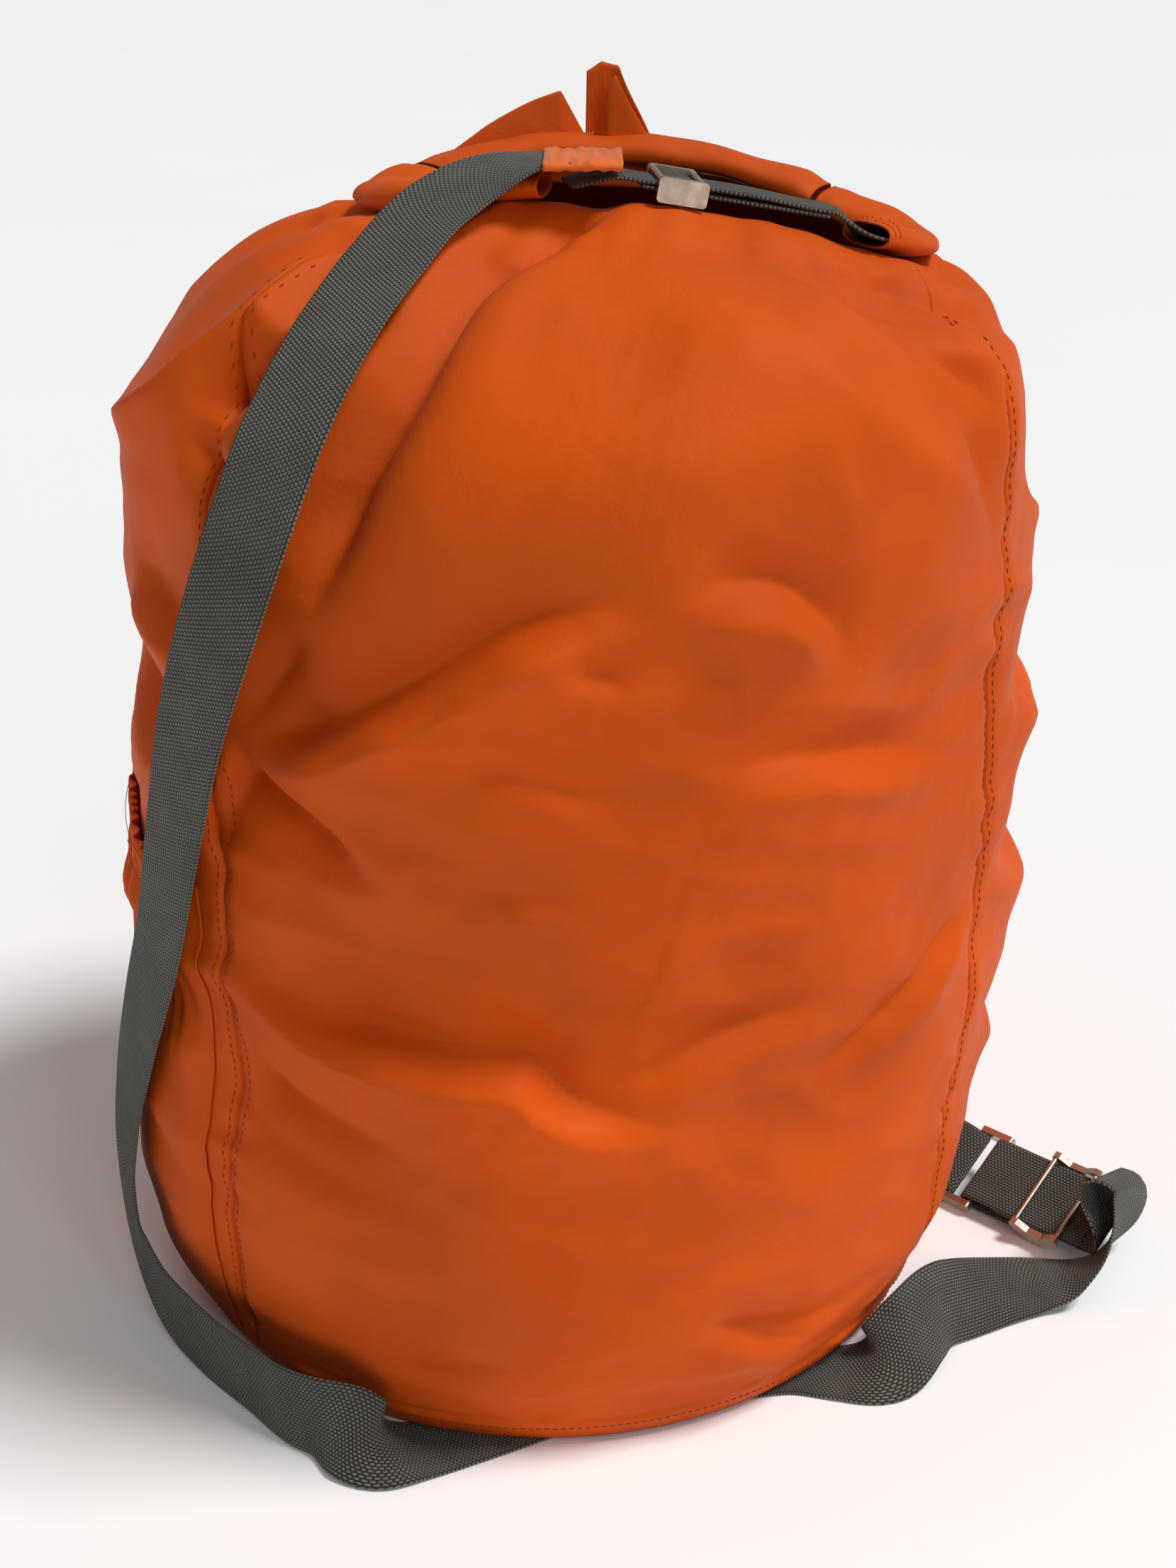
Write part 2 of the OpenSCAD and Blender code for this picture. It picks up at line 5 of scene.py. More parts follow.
import bpy
import numpy as np
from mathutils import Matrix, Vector


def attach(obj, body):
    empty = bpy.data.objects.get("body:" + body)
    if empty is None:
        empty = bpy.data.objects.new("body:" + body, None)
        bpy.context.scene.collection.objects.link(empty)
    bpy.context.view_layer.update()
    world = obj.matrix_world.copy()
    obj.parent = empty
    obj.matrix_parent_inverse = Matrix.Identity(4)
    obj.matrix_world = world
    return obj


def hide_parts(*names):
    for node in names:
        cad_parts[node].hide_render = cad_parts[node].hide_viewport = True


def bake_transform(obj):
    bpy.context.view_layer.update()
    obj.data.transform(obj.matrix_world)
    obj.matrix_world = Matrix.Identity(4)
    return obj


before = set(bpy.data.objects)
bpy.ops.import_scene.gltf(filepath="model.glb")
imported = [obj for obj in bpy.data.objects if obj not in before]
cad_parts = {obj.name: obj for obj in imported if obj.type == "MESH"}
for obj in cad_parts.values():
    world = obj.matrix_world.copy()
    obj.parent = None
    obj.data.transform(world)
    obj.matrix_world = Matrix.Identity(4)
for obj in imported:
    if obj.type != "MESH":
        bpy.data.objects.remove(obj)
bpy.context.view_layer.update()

bl_info = {
    "name": "Sling bag pieces",
    "version": (1, 0, 0),
    "blender": (4, 5, 0),
    "location": "3D View > Sidebar > Bag",
    "description": "Builds the cloth, webbing, stitching and finishes of a drawstring bag",
    "category": "Object",
}

MM = 0.001
TAU = 2 * math.pi

# ---------- sizes shared by the pieces, in metres ----------

BODY_R = 212 * MM
BASE_R = 187 * MM
MOUTH_H = 535 * MM
MOUTH_RX = 112 * MM
MOUTH_RY = 50 * MM
MOUTH_X = 46 * MM
MOUTH_Y = -8 * MM
CREST_X = 20 * MM
DROOP = 22 * MM
LEAN = 14 * MM
CASING_UP = 6.5 * MM
WEB_T = 1.6 * MM
STRAP_W = 40 * MM
CLOSER_W = 25 * MM
HEM_Z = 1.5 * MM

# Angles of the seams, anticlockwise from +X
FRONT_A0, FRONT_A1 = -135.5, -28.5
BACK_A0, BACK_A1 = 44.5, 151.5
SEAMS = (FRONT_A0, FRONT_A1, BACK_A0, BACK_A1)

# Camera, and the short simulation that settles the cloth
CAMERA_PLACE = (0.020, -0.95, 0.68)
CAMERA_PITCH = math.radians(90 - 24.6)
CAMERA_LENS = 48.82
SETTLE_ROWS = 90
SETTLE_EVERY = 3
SETTLE_FRAMES = 12
SETTLE_LIMIT = 2.5 * MM

# Grid of the shell, the strap's hollow in it, and the cloth and thread
COLUMN_STEP = 0.75
ROWS = 250
STRAP_HOLLOW = 3.2 * MM
STRAP_REACH = 85 * MM
THIN_CLOTH = 0.7 * MM
THREAD_R = 0.3 * MM

# Side pocket: its side edges as angles, then the heights of its foot and its hem in millimetres
POCKET_A0, POCKET_A1 = 155.5, 220.5
POCKET_LOW, POCKET_TOP = 14, 262

# Casing round the mouth: half its width and height
CASING_W = 15.2 * MM
CASING_H = 5.2 * MM

# Frame of the buckles on the floor
HINGE = np.array([224, 10, 15]) * MM
TURN, TILT = math.radians(-42), math.radians(26)
WAY = np.array([math.cos(TURN), math.sin(TURN), 0])
SIDE = np.array([-math.sin(TURN) * math.cos(TILT), math.cos(TURN) * math.cos(TILT), math.sin(TILT)])
UP = np.cross(WAY, SIDE)
FOLD_R = 2.5 * MM
LAYER_R = 4.4 * MM
RING_GAP = 14 * MM
GLIDE_X = 57 * MM
GLIDE_L = 28 * MM
FOLD_L = 27 * MM
TAIL_X = 75 * MM


# ---------- numpy helpers ----------


def curve(t, knots, values):
    """Cubic through the knots: at each knot the slope is the mean of its two neighbours' slopes."""
    k, v = np.asarray(knots, float), np.asarray(values, float)
    slope = np.gradient(v, k, axis=0)
    t = np.clip(t, k[0], k[-1])
    i = np.clip(np.searchsorted(k, t, side="right") - 1, 0, len(k) - 2)
    h = k[i + 1] - k[i]
    s = (t - k[i]) / h
    wide = (slice(None),) * np.ndim(t) + (None,) * (v.ndim - 1)
    h, s = h[wide], s[wide]
    return (
        (2 * s**3 - 3 * s**2 + 1) * v[i]
        + (s**3 - 2 * s**2 + s) * h * slope[i]
        + (3 * s**2 - 2 * s**3) * v[i + 1]
        + (s**3 - s**2) * h * slope[i + 1]
    )


def unit(v):
    """Vectors scaled to length one, along the last axis."""
    return v / np.maximum(np.linalg.norm(v, axis=-1, keepdims=True), 1e-12)


def smoothstep(x):
    """Nought below nought, one above one, and a smooth cubic between."""
    x = np.clip(x, 0, 1)
    return x * x * (3 - 2 * x)


def bell(x):
    """Bell curve: e to the minus x squared."""
    return np.exp(-(x**2))


def normals_of(p, wrap=False):
    """Unit normals of a grid of points: cross product of the steps along columns and rows."""
    if wrap:
        du = np.roll(p, -1, 1) - np.roll(p, 1, 1)
    else:
        du = np.gradient(p, axis=1)
    return unit(np.cross(du, np.gradient(p, axis=0)))


def waves(u, v, seed, count, low, high, squash=1.0):
    """Sum of count sine waves of random direction, length and phase, from a fixed seed; about -1 to 1.
    Lengths go from low to high, and squash above one makes the waves run along u."""
    random = np.random.default_rng(seed)
    total = np.zeros(np.broadcast(u, v).shape)
    for _ in range(count):
        turn = random.uniform(0, math.pi)
        length = math.exp(random.uniform(math.log(low), math.log(high)))
        phase = random.uniform(0, TAU)
        total += np.sin(TAU / length * (u * math.cos(turn) / squash + v * math.sin(turn)) + phase)
    return total / math.sqrt(count)


def mesh_object(name, points, faces, uvs=None, smooth=True):
    """Mesh object at the origin from points, faces and one UV for each point."""
    mesh = bpy.data.meshes.new(name)
    mesh.from_pydata(np.asarray(points, float).reshape(-1, 3).tolist(), [], [list(f) for f in faces])
    mesh.update()
    if uvs is not None:
        layer = mesh.uv_layers.new(name="Cloth")
        corner = np.zeros(len(mesh.loops), np.int32)
        mesh.loops.foreach_get("vertex_index", corner)
        layer.data.foreach_set("uv", np.asarray(uvs, np.float32).reshape(-1, 2)[corner].ravel())
    mesh.polygons.foreach_set("use_smooth", np.full(len(mesh.polygons), smooth))
    obj = bpy.data.objects.new(name, mesh)
    bpy.context.scene.collection.objects.link(obj)
    return obj


def grid_faces(rows, cols, wrap=False):
    """Quads of a grid, anticlockwise seen from the side that its normals point to."""
    c = np.arange(cols if wrap else cols - 1)
    r = np.arange(rows - 1)[:, None] * cols
    n = (c + 1) % cols
    return np.stack([r + c, r + n, r + cols + n, r + cols + c], -1).reshape(-1, 4)


def add_solidify(obj, thick, offset=-1.0):
    """Gives a sheet its thickness, behind its face."""
    mod = obj.modifiers.new("Thickness", "SOLIDIFY")
    mod.thickness = thick
    mod.offset = offset
    mod.use_even_offset = True


def use(obj, material):
    """The piece's only material."""
    obj.data.materials.clear()
    obj.data.materials.append(material)


def apply_modifiers(obj):
    """Replaces the piece's mesh with what its modifiers make of it."""
    made = bpy.data.meshes.new_from_object(obj.evaluated_get(bpy.context.evaluated_depsgraph_get()))
    obj.modifiers.clear()
    obj.data = made


def finish_cloth(obj, thick, material, nodes, offset=-1.0):
    """Gives a cloth surface its thickness and material, hides the nodes it stands for and says how it lies.
    """
    add_solidify(obj, thick, offset)
    apply_modifiers(obj)
    use(obj, material)
    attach(obj, "bag")
    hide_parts(*nodes)


def rounded_section(turn, power_x, power_y):
    """Rounded rectangle: cosine and sine of the turn, each raised to a power below one with its sign kept."""
    c, s = np.cos(turn), np.sin(turn)
    return np.sign(c) * np.abs(c) ** power_x, np.sign(s) * np.abs(s) ** power_y


# ---------- webbing ----------


def ribbon_points(path, face, width, thick):
    """Closed section carried along a path. The section is a flat band with round edges: across it
    runs to half the width on each side of the path, and through it half the thickness along the face."""
    t = unit(np.gradient(path, axis=0))
    w = unit(np.cross(t, face))
    n = np.cross(t, w)
    across = np.linspace(-1, 1, 13)
    half = width / 2 - thick / 2
    top = np.stack([across * half, np.full(13, thick / 2)], -1)
    bow = np.linspace(90, -90, 5)[1:-1] * math.pi / 180
    right = np.stack([half + thick / 2 * np.cos(bow), thick / 2 * np.sin(bow)], -1)
    section = np.concatenate([top, right, top[::-1] * [1, -1], -right])
    u = np.concatenate([(across + 1) / 2, [1.01, 1.02, 1.01], (1 - across) / 2, [-0.01, -0.02, -0.01]])
    points = path[:, None] + section[None, :, :1] * w[:, None] + section[None, :, 1:] * n[:, None]
    return points, u


def ribbon(name, path, face, width, material, cad, body=None):
    """Webbing along a dense path in place of a CAD node, with a UV that counts widths across and along it."""
    points, u = ribbon_points(path, face, width, WEB_T)
    rows, cols = points.shape[:2]
    step = np.linalg.norm(np.diff(path, axis=0), axis=1)
    along = np.concatenate([[0], np.cumsum(step)]) / width
    uvs = np.stack(np.broadcast_arrays(u[None, :], along[:, None]), -1)
    faces = grid_faces(rows, cols, wrap=True)[:, ::-1].tolist()
    faces.append(list(range(cols)))
    faces.append(list(range(cols * rows - 1, cols * (rows - 1) - 1, -1)))
    obj = mesh_object(name, points, faces, uvs)
    outward(obj)
    use(obj, material)
    if body:
        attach(obj, body)
    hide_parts(cad)
    return obj


def outward(obj):
    """Turns a closed mesh's faces outwards if its signed volume is negative."""
    mesh = obj.data
    co = np.zeros(len(mesh.vertices) * 3)
    mesh.vertices.foreach_get("co", co)
    co = co.reshape(-1, 3)
    mesh.calc_loop_triangles()
    tri = np.zeros(len(mesh.loop_triangles) * 3, np.int32)
    mesh.loop_triangles.foreach_get("vertices", tri)
    a, b, c = (co[tri.reshape(-1, 3)[:, i]] for i in range(3))
    if (a * np.cross(b, c)).sum() < 0:
        mesh.flip_normals()


def dense(places, faces, step):
    """Smooth path through chosen places, with the way its face looks carried along."""
    places, faces = np.asarray(places, float), np.asarray(faces, float)
    chord = np.concatenate([[0], np.cumsum(np.linalg.norm(np.diff(places, axis=0), axis=1))])
    t = np.linspace(0, chord[-1], int(chord[-1] / step) + 2)
    return curve(t, chord, places), unit(curve(t, chord, faces))


def at_ring(x, y, z):
    """Point given in the buckles' frame: along the doubled strap, along the bars, and away from the floor."""
    return HINGE + x * WAY + y * SIDE + z * UP


# Route of the strap, mouth to buckles, in millimetres: place, then the way its outer face looks
STRAP = [
    [[22, -58, 551], [0, 0, 1]], [[0, -59, 551], [0, 0, 1]], [[-16, -63, 548], [-0.1, -0.2, 1]],
    [[-40, -79, 537], [-0.3, -0.5, 0.8]], [[-60, -108, 519], [-0.4, -0.7, 0.6]],
    [[-79, -142, 496], [-0.45, -0.75, 0.5]], [[-95, -168, 467], [-0.5, -0.8, 0.35]],
    [[-109, -178, 432], [-0.55, -0.82, 0.2]], [[-124, -176, 392], [-0.6, -0.8, 0.1]],
    [[-140, -165, 345], [-0.7, -0.72, 0]], [[-154, -150, 290], [-0.76, -0.65, 0]],
    [[-168, -132, 232], [-0.82, -0.57, 0]], [[-186, -110, 172], [-0.88, -0.48, 0]],
    [[-200, -90, 118], [-0.92, -0.4, 0]], [[-206, -82, 76], [-0.93, -0.38, 0]],
    [[-202, -90, 42], [-0.92, -0.4, 0]], [[-188, -112, 25], [-0.86, -0.5, 0]],
    [[-165, -141, 21], [-0.74, -0.67, 0]], [[-137, -170, 21], [-0.65, -0.76, 0]],
    [[-114, -191, 21], [-0.5, -0.86, 0.1]], [[-100, -198, 21], [-0.35, -0.9, 0.2]],
    [[-88, -202, 18], [-0.2, -0.75, 0.6]], [[-75, -203, 9.5], [-0.1, -0.4, 0.9]],
    [[-59, -196, 1.4], [0, 0, 1]], [[-30, -182, 1], [0, 0, 1]],
    [[5, -165, 1], [0, 0, 1]], [[45, -153, 1], [0, 0, 1]],
    [[85, -143, 1], [0, 0, 1]], [[118, -138, 1], [0, 0, 1]],
    [[142, -143, 1.4], [0, 0, 1]], [[159, -146, 8], [0.1, -0.35, 0.9]],
    [[176, -133, 18], [0.2, -0.75, 0.6]], [[190, -115, 18.5], [0.3, -0.74, 0.57]],
    [[205, -102, 13.5], [0.4, -0.42, 0.7]], [[222, -90, 8.5], [0.25, -0.2, 0.8]],
    [[242, -81, 5], [0.1, -0.06, 0.9]], [[257, -78, 6], [-0.1, 0.1, 0.95]],
    [[270, -74, 10.5], [-0.45, 0.35, 0.8]], [[280, -69, 16], [-0.65, 0.5, 0.55]],
    [[288, -63, 24], [-0.75, 0.6, 0.3]], [[294, -57, 33], [-0.8, 0.6, -0.1]],
    [[296, -51, 42], [-0.75, 0.3, -0.6]], [[289, -45, 45], [-0.15, -0.3, -0.9]],
    [[283, -41, 41], [0.7, -0.7, -0.25]], [[284, -46, 34], [0.6, -0.45, 0.6]],
    [[289, -55, 24], [0.75, -0.65, 0.1]],
]


def strap_route():
    """Dense line of the strap and its face, ending at the doubled webbing behind the slider."""
    joint = at_ring(TAIL_X, 0, LAYER_R)
    places = [np.array(p) * MM for p, _ in STRAP] + [joint + 9 * MM * WAY, joint]
    faces = [unit(np.array(f, float)) for _, f in STRAP] + [-UP, -UP]
    return dense(places, faces, 3 * MM)


def strip_route(line):
    """Dense line through [x, z] points in the buckles' frame, and its face."""
    line = np.asarray(line, float)
    places = HINGE + line[:, :1] * WAY + line[:, 1:] * UP
    t = unit(np.gradient(places, axis=0))
    return dense(places, np.cross(t, -SIDE), 1.5 * MM)


def arc(centre, radius, start, end, count):
    """Points [x, z] on an arc, angles in degrees."""
    a = np.radians(np.linspace(start, end, count))
    return np.stack([centre + radius * np.cos(a), radius * np.sin(a)], -1)


# ---------- shader nodes ----------


def group(name, inputs, outputs):
    """Empty node group with named sockets, and its input and output nodes."""
    tree = bpy.data.node_groups.new(name, "ShaderNodeTree")
    for label, kind, default in inputs:
        socket = tree.interface.new_socket(label, in_out="INPUT", socket_type=kind)
        socket.default_value = default
    for label, kind in outputs:
        tree.interface.new_socket(label, in_out="OUTPUT", socket_type=kind)
    return tree, tree.nodes.new("NodeGroupInput"), tree.nodes.new("NodeGroupOutput")


def node(tree, kind, inputs=(), **settings):
    """New node with its settings and its inputs, each a value or another node's socket."""
    n = tree.nodes.new(kind)
    for key, value in settings.items():
        setattr(n, key, value)
    for key, value in dict(inputs).items():
        if isinstance(value, bpy.types.NodeSocket):
            tree.links.new(value, n.inputs[key])
        else:
            n.inputs[key].default_value = value
    return n


def math_node(tree, operation, a, b=0.0):
    """One sum, product or other operation, and its result."""
    return node(tree, "ShaderNodeMath", {0: a, 1: b}, operation=operation).outputs[0]


def mix_colour(tree, factor, a, b, blend="MIX"):
    """Two colours mixed."""
    return node(tree, "ShaderNodeMix", {0: factor, 6: a, 7: b}, data_type="RGBA", blend_type=blend).outputs[2]


def webbing_weave():
    """Webbing: columns of warp cords, each crossed by picks that sit half a pitch off their neighbours."""
    tree, i, o = group(
        "Webbing weave",
        [("UV", "NodeSocketVector", (0, 0, 0)), ("Columns", "NodeSocketFloat", 24.0),
         ("Picks", "NodeSocketFloat", 20.0)],
        [("Height", "NodeSocketFloat")],
    )
    split = node(tree, "ShaderNodeSeparateXYZ", {0: i.outputs["UV"]})
    u = math_node(tree, "MULTIPLY", split.outputs[0], i.outputs["Columns"])
    column = math_node(tree, "FLOOR", u)
    odd = math_node(tree, "MODULO", column, 2.0)
    v = math_node(tree, "MULTIPLY", split.outputs[1], i.outputs["Picks"])
    v = math_node(tree, "ADD", v, math_node(tree, "MULTIPLY", odd, 0.5))
    arches = []
    for value in (u, v):
        part = math_node(tree, "FRACT", value)
        part = math_node(tree, "SUBTRACT", math_node(tree, "MULTIPLY", part, 2.0), 1.0)
        arches.append(math_node(tree, "SUBTRACT", 1.0, math_node(tree, "MULTIPLY", part, part)))
    pair = math_node(tree, "MULTIPLY", arches[0], arches[1])
    height = math_node(tree, "POWER", math_node(tree, "MAXIMUM", pair, 0.0), 0.8)
    tree.links.new(height, o.inputs["Height"])
    return tree


def cloth_grain():
    """Thin woven cloth: two crossed sets of fine threads, and slow changes of shade."""
    tree, i, o = group(
        "Cloth grain",
        [("UV", "NodeSocketVector", (0, 0, 0)), ("Threads", "NodeSocketFloat", 1500.0)],
        [("Height", "NodeSocketFloat"), ("Shade", "NodeSocketFloat"), ("Crumple", "NodeSocketFloat")],
    )
    split = node(tree, "ShaderNodeSeparateXYZ", {0: i.outputs["UV"]})
    threads = []
    for k in (0, 1):
        angle = math_node(tree, "MULTIPLY", split.outputs[k], i.outputs["Threads"])
        threads.append(math_node(tree, "SINE", math_node(tree, "MULTIPLY", angle, TAU)))
    weave = math_node(tree, "MULTIPLY", threads[0], threads[1])
    coords = node(tree, "ShaderNodeTexCoord")
    slow = node(tree, "ShaderNodeTexNoise", {"Vector": coords.outputs["Object"], "Scale": 9.0, "Detail": 4.0})
    creased = node(
        tree, "ShaderNodeTexNoise",
        {"Vector": coords.outputs["Object"], "Scale": 26.0, "Detail": 5.0, "Roughness": 0.55,
         "Distortion": 0.6},
    )
    ridge = math_node(tree, "ABSOLUTE", math_node(tree, "SUBTRACT", creased.outputs["Fac"], 0.5))
    tree.links.new(weave, o.inputs["Height"])
    tree.links.new(slow.outputs["Fac"], o.inputs["Shade"])
    tree.links.new(ridge, o.inputs["Crumple"])
    return tree


def metal_wear():
    """Plated metal: fine brushing, and smudges that dull it."""
    tree, _, o = group("Metal wear", [], [("Height", "NodeSocketFloat"), ("Smudge", "NodeSocketFloat")])
    coords = node(tree, "ShaderNodeTexCoord")
    place = coords.outputs["Object"]
    brushed = node(tree, "ShaderNodeMapping", {"Vector": place, "Scale": (900.0, 900.0, 3000.0)})
    fine = node(tree, "ShaderNodeTexNoise", {"Vector": brushed.outputs[0], "Scale": 1.0, "Detail": 2.0})
    broad = node(tree, "ShaderNodeTexNoise", {"Vector": place, "Scale": 160.0, "Detail": 4.0})
    tree.links.new(fine.outputs["Fac"], o.inputs["Height"])
    tree.links.new(broad.outputs["Fac"], o.inputs["Smudge"])
    return tree


def new_material(name, roughness, **sockets):
    """Material with a Principled shader, its constant values set on the shader."""
    material = bpy.data.materials.new(name)
    material.use_nodes = True
    tree = material.node_tree
    shader = tree.nodes["Principled BSDF"]
    shader.inputs["Roughness"].default_value = roughness
    for key, value in sockets.items():
        shader.inputs[key.replace("_", " ").title()].default_value = value
    return material, tree, shader


def cloth_material(name, colour, grain, sheen=0.02, crumple=0.3, roughness=0.62):
    """Coated nylon in one colour, darker and lighter in slow patches, with its fine weave in the bump."""
    material, tree, shader = new_material(name, roughness, sheen_weight=sheen, sheen_roughness=0.4)
    shader.inputs["Specular IOR Level"].default_value = 0.14
    uv = node(tree, "ShaderNodeUVMap", uv_map="Cloth")
    weave = node(tree, "ShaderNodeGroup", node_tree=grain)
    tree.links.new(uv.outputs[0], weave.inputs["UV"])
    dark = [c * 0.82 for c in colour[:3]] + [1]
    light = [min(1, c * 1.12) for c in colour[:3]] + [1]
    shade = node(tree, "ShaderNodeMapRange", {0: weave.outputs["Shade"], 1: 0.3, 2: 0.7})
    tree.links.new(mix_colour(tree, shade.outputs[0], dark, light), shader.inputs["Base Color"])
    fine = node(
        tree, "ShaderNodeBump", {"Strength": 0.15, "Distance": 0.0001, "Height": weave.outputs["Height"]})
    rough = node(
        tree, "ShaderNodeBump",
        {"Strength": crumple, "Distance": 0.004, "Height": weave.outputs["Crumple"],
         "Normal": fine.outputs[0]},
    )
    tree.links.new(rough.outputs[0], shader.inputs["Normal"])
    return material


def webbing_material(name, colour, weave, columns, picks):
    """Ribbed webbing: raised threads painted lighter than the colour as a painted highlight, the gaps between
    them painted dark as painted shade, and the shader's sheen giving a glint along the ribs.
    """
    material, tree, shader = new_material(name, 0.62, sheen_weight=0.15, sheen_roughness=0.35)
    shader.inputs["Specular IOR Level"].default_value = 0.35
    uv = node(tree, "ShaderNodeUVMap", uv_map="Cloth")
    threads = node(tree, "ShaderNodeGroup", node_tree=weave)
    threads.inputs["Columns"].default_value = columns
    threads.inputs["Picks"].default_value = picks
    tree.links.new(uv.outputs[0], threads.inputs["UV"])
    # Painted shade: the gaps between the threads are painted at 0.14 of the colour; the raised threads are
    # painted at 1.5 of it as a painted highlight, mixed by the threads' height.
    painted_gap_shade = [c * 0.14 for c in colour[:3]] + [1]
    lit = [min(1, c * 1.5) for c in colour[:3]] + [1]
    raised = node(tree, "ShaderNodeMapRange", {0: threads.outputs["Height"], 1: 0.2, 2: 0.9})
    base = mix_colour(tree, raised.outputs[0], painted_gap_shade, lit)
    coords = node(tree, "ShaderNodeTexCoord")
    slow = node(
        tree, "ShaderNodeTexNoise", {"Vector": coords.outputs["Object"], "Scale": 60.0, "Detail": 5.0})
    patch = node(tree, "ShaderNodeMapRange", {0: slow.outputs["Fac"], 1: 0.3, 2: 0.7, 3: 0.8, 4: 1.12})
    grey = node(tree, "ShaderNodeCombineColor", {k: patch.outputs[0] for k in range(3)})
    tree.links.new(mix_colour(tree, 1.0, base, grey.outputs[0], "MULTIPLY"), shader.inputs["Base Color"])
    bump = node(
        tree, "ShaderNodeBump", {"Strength": 1.0, "Distance": 0.0012, "Height": threads.outputs["Height"]})
    tree.links.new(bump.outputs[0], shader.inputs["Normal"])
    return material


def metal_material(name, colour, wear):
    """Satin nickel plate with fine brushing and smudges."""
    material, tree, shader = new_material(name, 0.28, metallic=1.0)
    marks = node(tree, "ShaderNodeGroup", node_tree=wear)
    dull = [c * 0.72 for c in colour[:3]] + [1]
    smudge = node(tree, "ShaderNodeMapRange", {0: marks.outputs["Smudge"], 1: 0.35, 2: 0.7})
    bright = list(colour[:3]) + [1]
    tree.links.new(mix_colour(tree, smudge.outputs[0], bright, dull), shader.inputs["Base Color"])
    rough = node(tree, "ShaderNodeMapRange", {0: marks.outputs["Smudge"], 1: 0.3, 2: 0.75, 3: 0.22, 4: 0.42})
    tree.links.new(rough.outputs[0], shader.inputs["Roughness"])
    bump = node(
        tree, "ShaderNodeBump", {"Strength": 0.12, "Distance": 0.0002, "Height": marks.outputs["Height"]})
    tree.links.new(bump.outputs[0], shader.inputs["Normal"])
    return material


MATERIALS = {}


def finishes(settings):
    """All the materials, made once from the panel's colours."""
    if not MATERIALS:
        grain, weave, wear = cloth_grain(), webbing_weave(), metal_wear()
        shell = tuple(settings.shell_colour)
        web = tuple(settings.webbing_colour)
        MATERIALS.update(
            shell=cloth_material("Bag cloth", shell, grain),
            base=cloth_material("Base cloth", tuple(c * 0.6 for c in shell), grain, sheen=0.05),
            tab=cloth_material("Tab cloth", tuple(settings.tab_colour), grain, sheen=0.2, crumple=0.15),
            strap=webbing_material("Strap webbing", web, weave, 24.0, 20.0),
            closer=webbing_material("Closing webbing", tuple(c * 0.8 for c in web), weave, 15.0, 13.0),
            thread=cloth_material(
                "Seam thread", tuple(c * 0.55 for c in shell), grain, sheen=0.1, crumple=0.05),
            web_thread=cloth_material("Webbing thread", tuple(c * 1.2 for c in web), grain, crumple=0.05),
            metal=metal_material("Nickel plate", tuple(settings.metal_colour), wear),
        )
    return MATERIALS


# ---------- shape of the filled bag ----------

# Share of the height, share of the way from the base's radius to the body's, share of the way to the mouth
PROFILE = np.array([
    [0, 0.02, 0], [0.012, 0.16, 0], [0.03, 0.36, 0], [0.056, 0.55, 0], [0.11, 0.78, 0],
    [0.2, 0.96, 0], [0.32, 1, 0], [0.46, 1, 0], [0.6, 0.98, 0], [0.71, 0.96, 0.01],
    [0.79, 0.96, 0.06], [0.855, 0.96, 0.16], [0.905, 0.96, 0.34], [0.945, 0.96, 0.58],
    [0.975, 0.96, 0.82], [1, 0.96, 1],
])


def mouth_edge(a, out=0.0, up=0.0):
    """Point on the mouth's edge at angle a in radians: an ellipse whose height droops with the square
    of the distance from its crest."""
    x = MOUTH_X + MOUTH_RX * np.cos(a)
    z = MOUTH_H - DROOP * ((x - CREST_X) / MOUTH_RX) ** 2
    y = MOUTH_Y + (MOUTH_RY + out) * np.sin(a)
    return np.stack([MOUTH_X + (MOUTH_RX + out) * np.cos(a), y, z + up], -1)


def smooth_body(a, t):
    """Filled bag without folds: at height share t a circle of the profile's radius, carried over to the
    mouth's ellipse by the profile's last share."""
    fat = curve(t, PROFILE[:, 0], PROFILE[:, 1])
    near = np.clip(curve(t, PROFILE[:, 0], PROFILE[:, 2]), 0, 1)
    r = BASE_R + (BODY_R - BASE_R) * fat
    mouth = mouth_edge(a)
    z = np.maximum(HEM_Z, t * (MOUTH_H + (mouth[..., 2] - MOUTH_H) * near))
    lean = LEAN * np.minimum(1, t / 0.35)
    body = np.stack([lean + r * np.cos(a), r * np.sin(a), z], -1)
    return body + (mouth - body) * near[..., None]


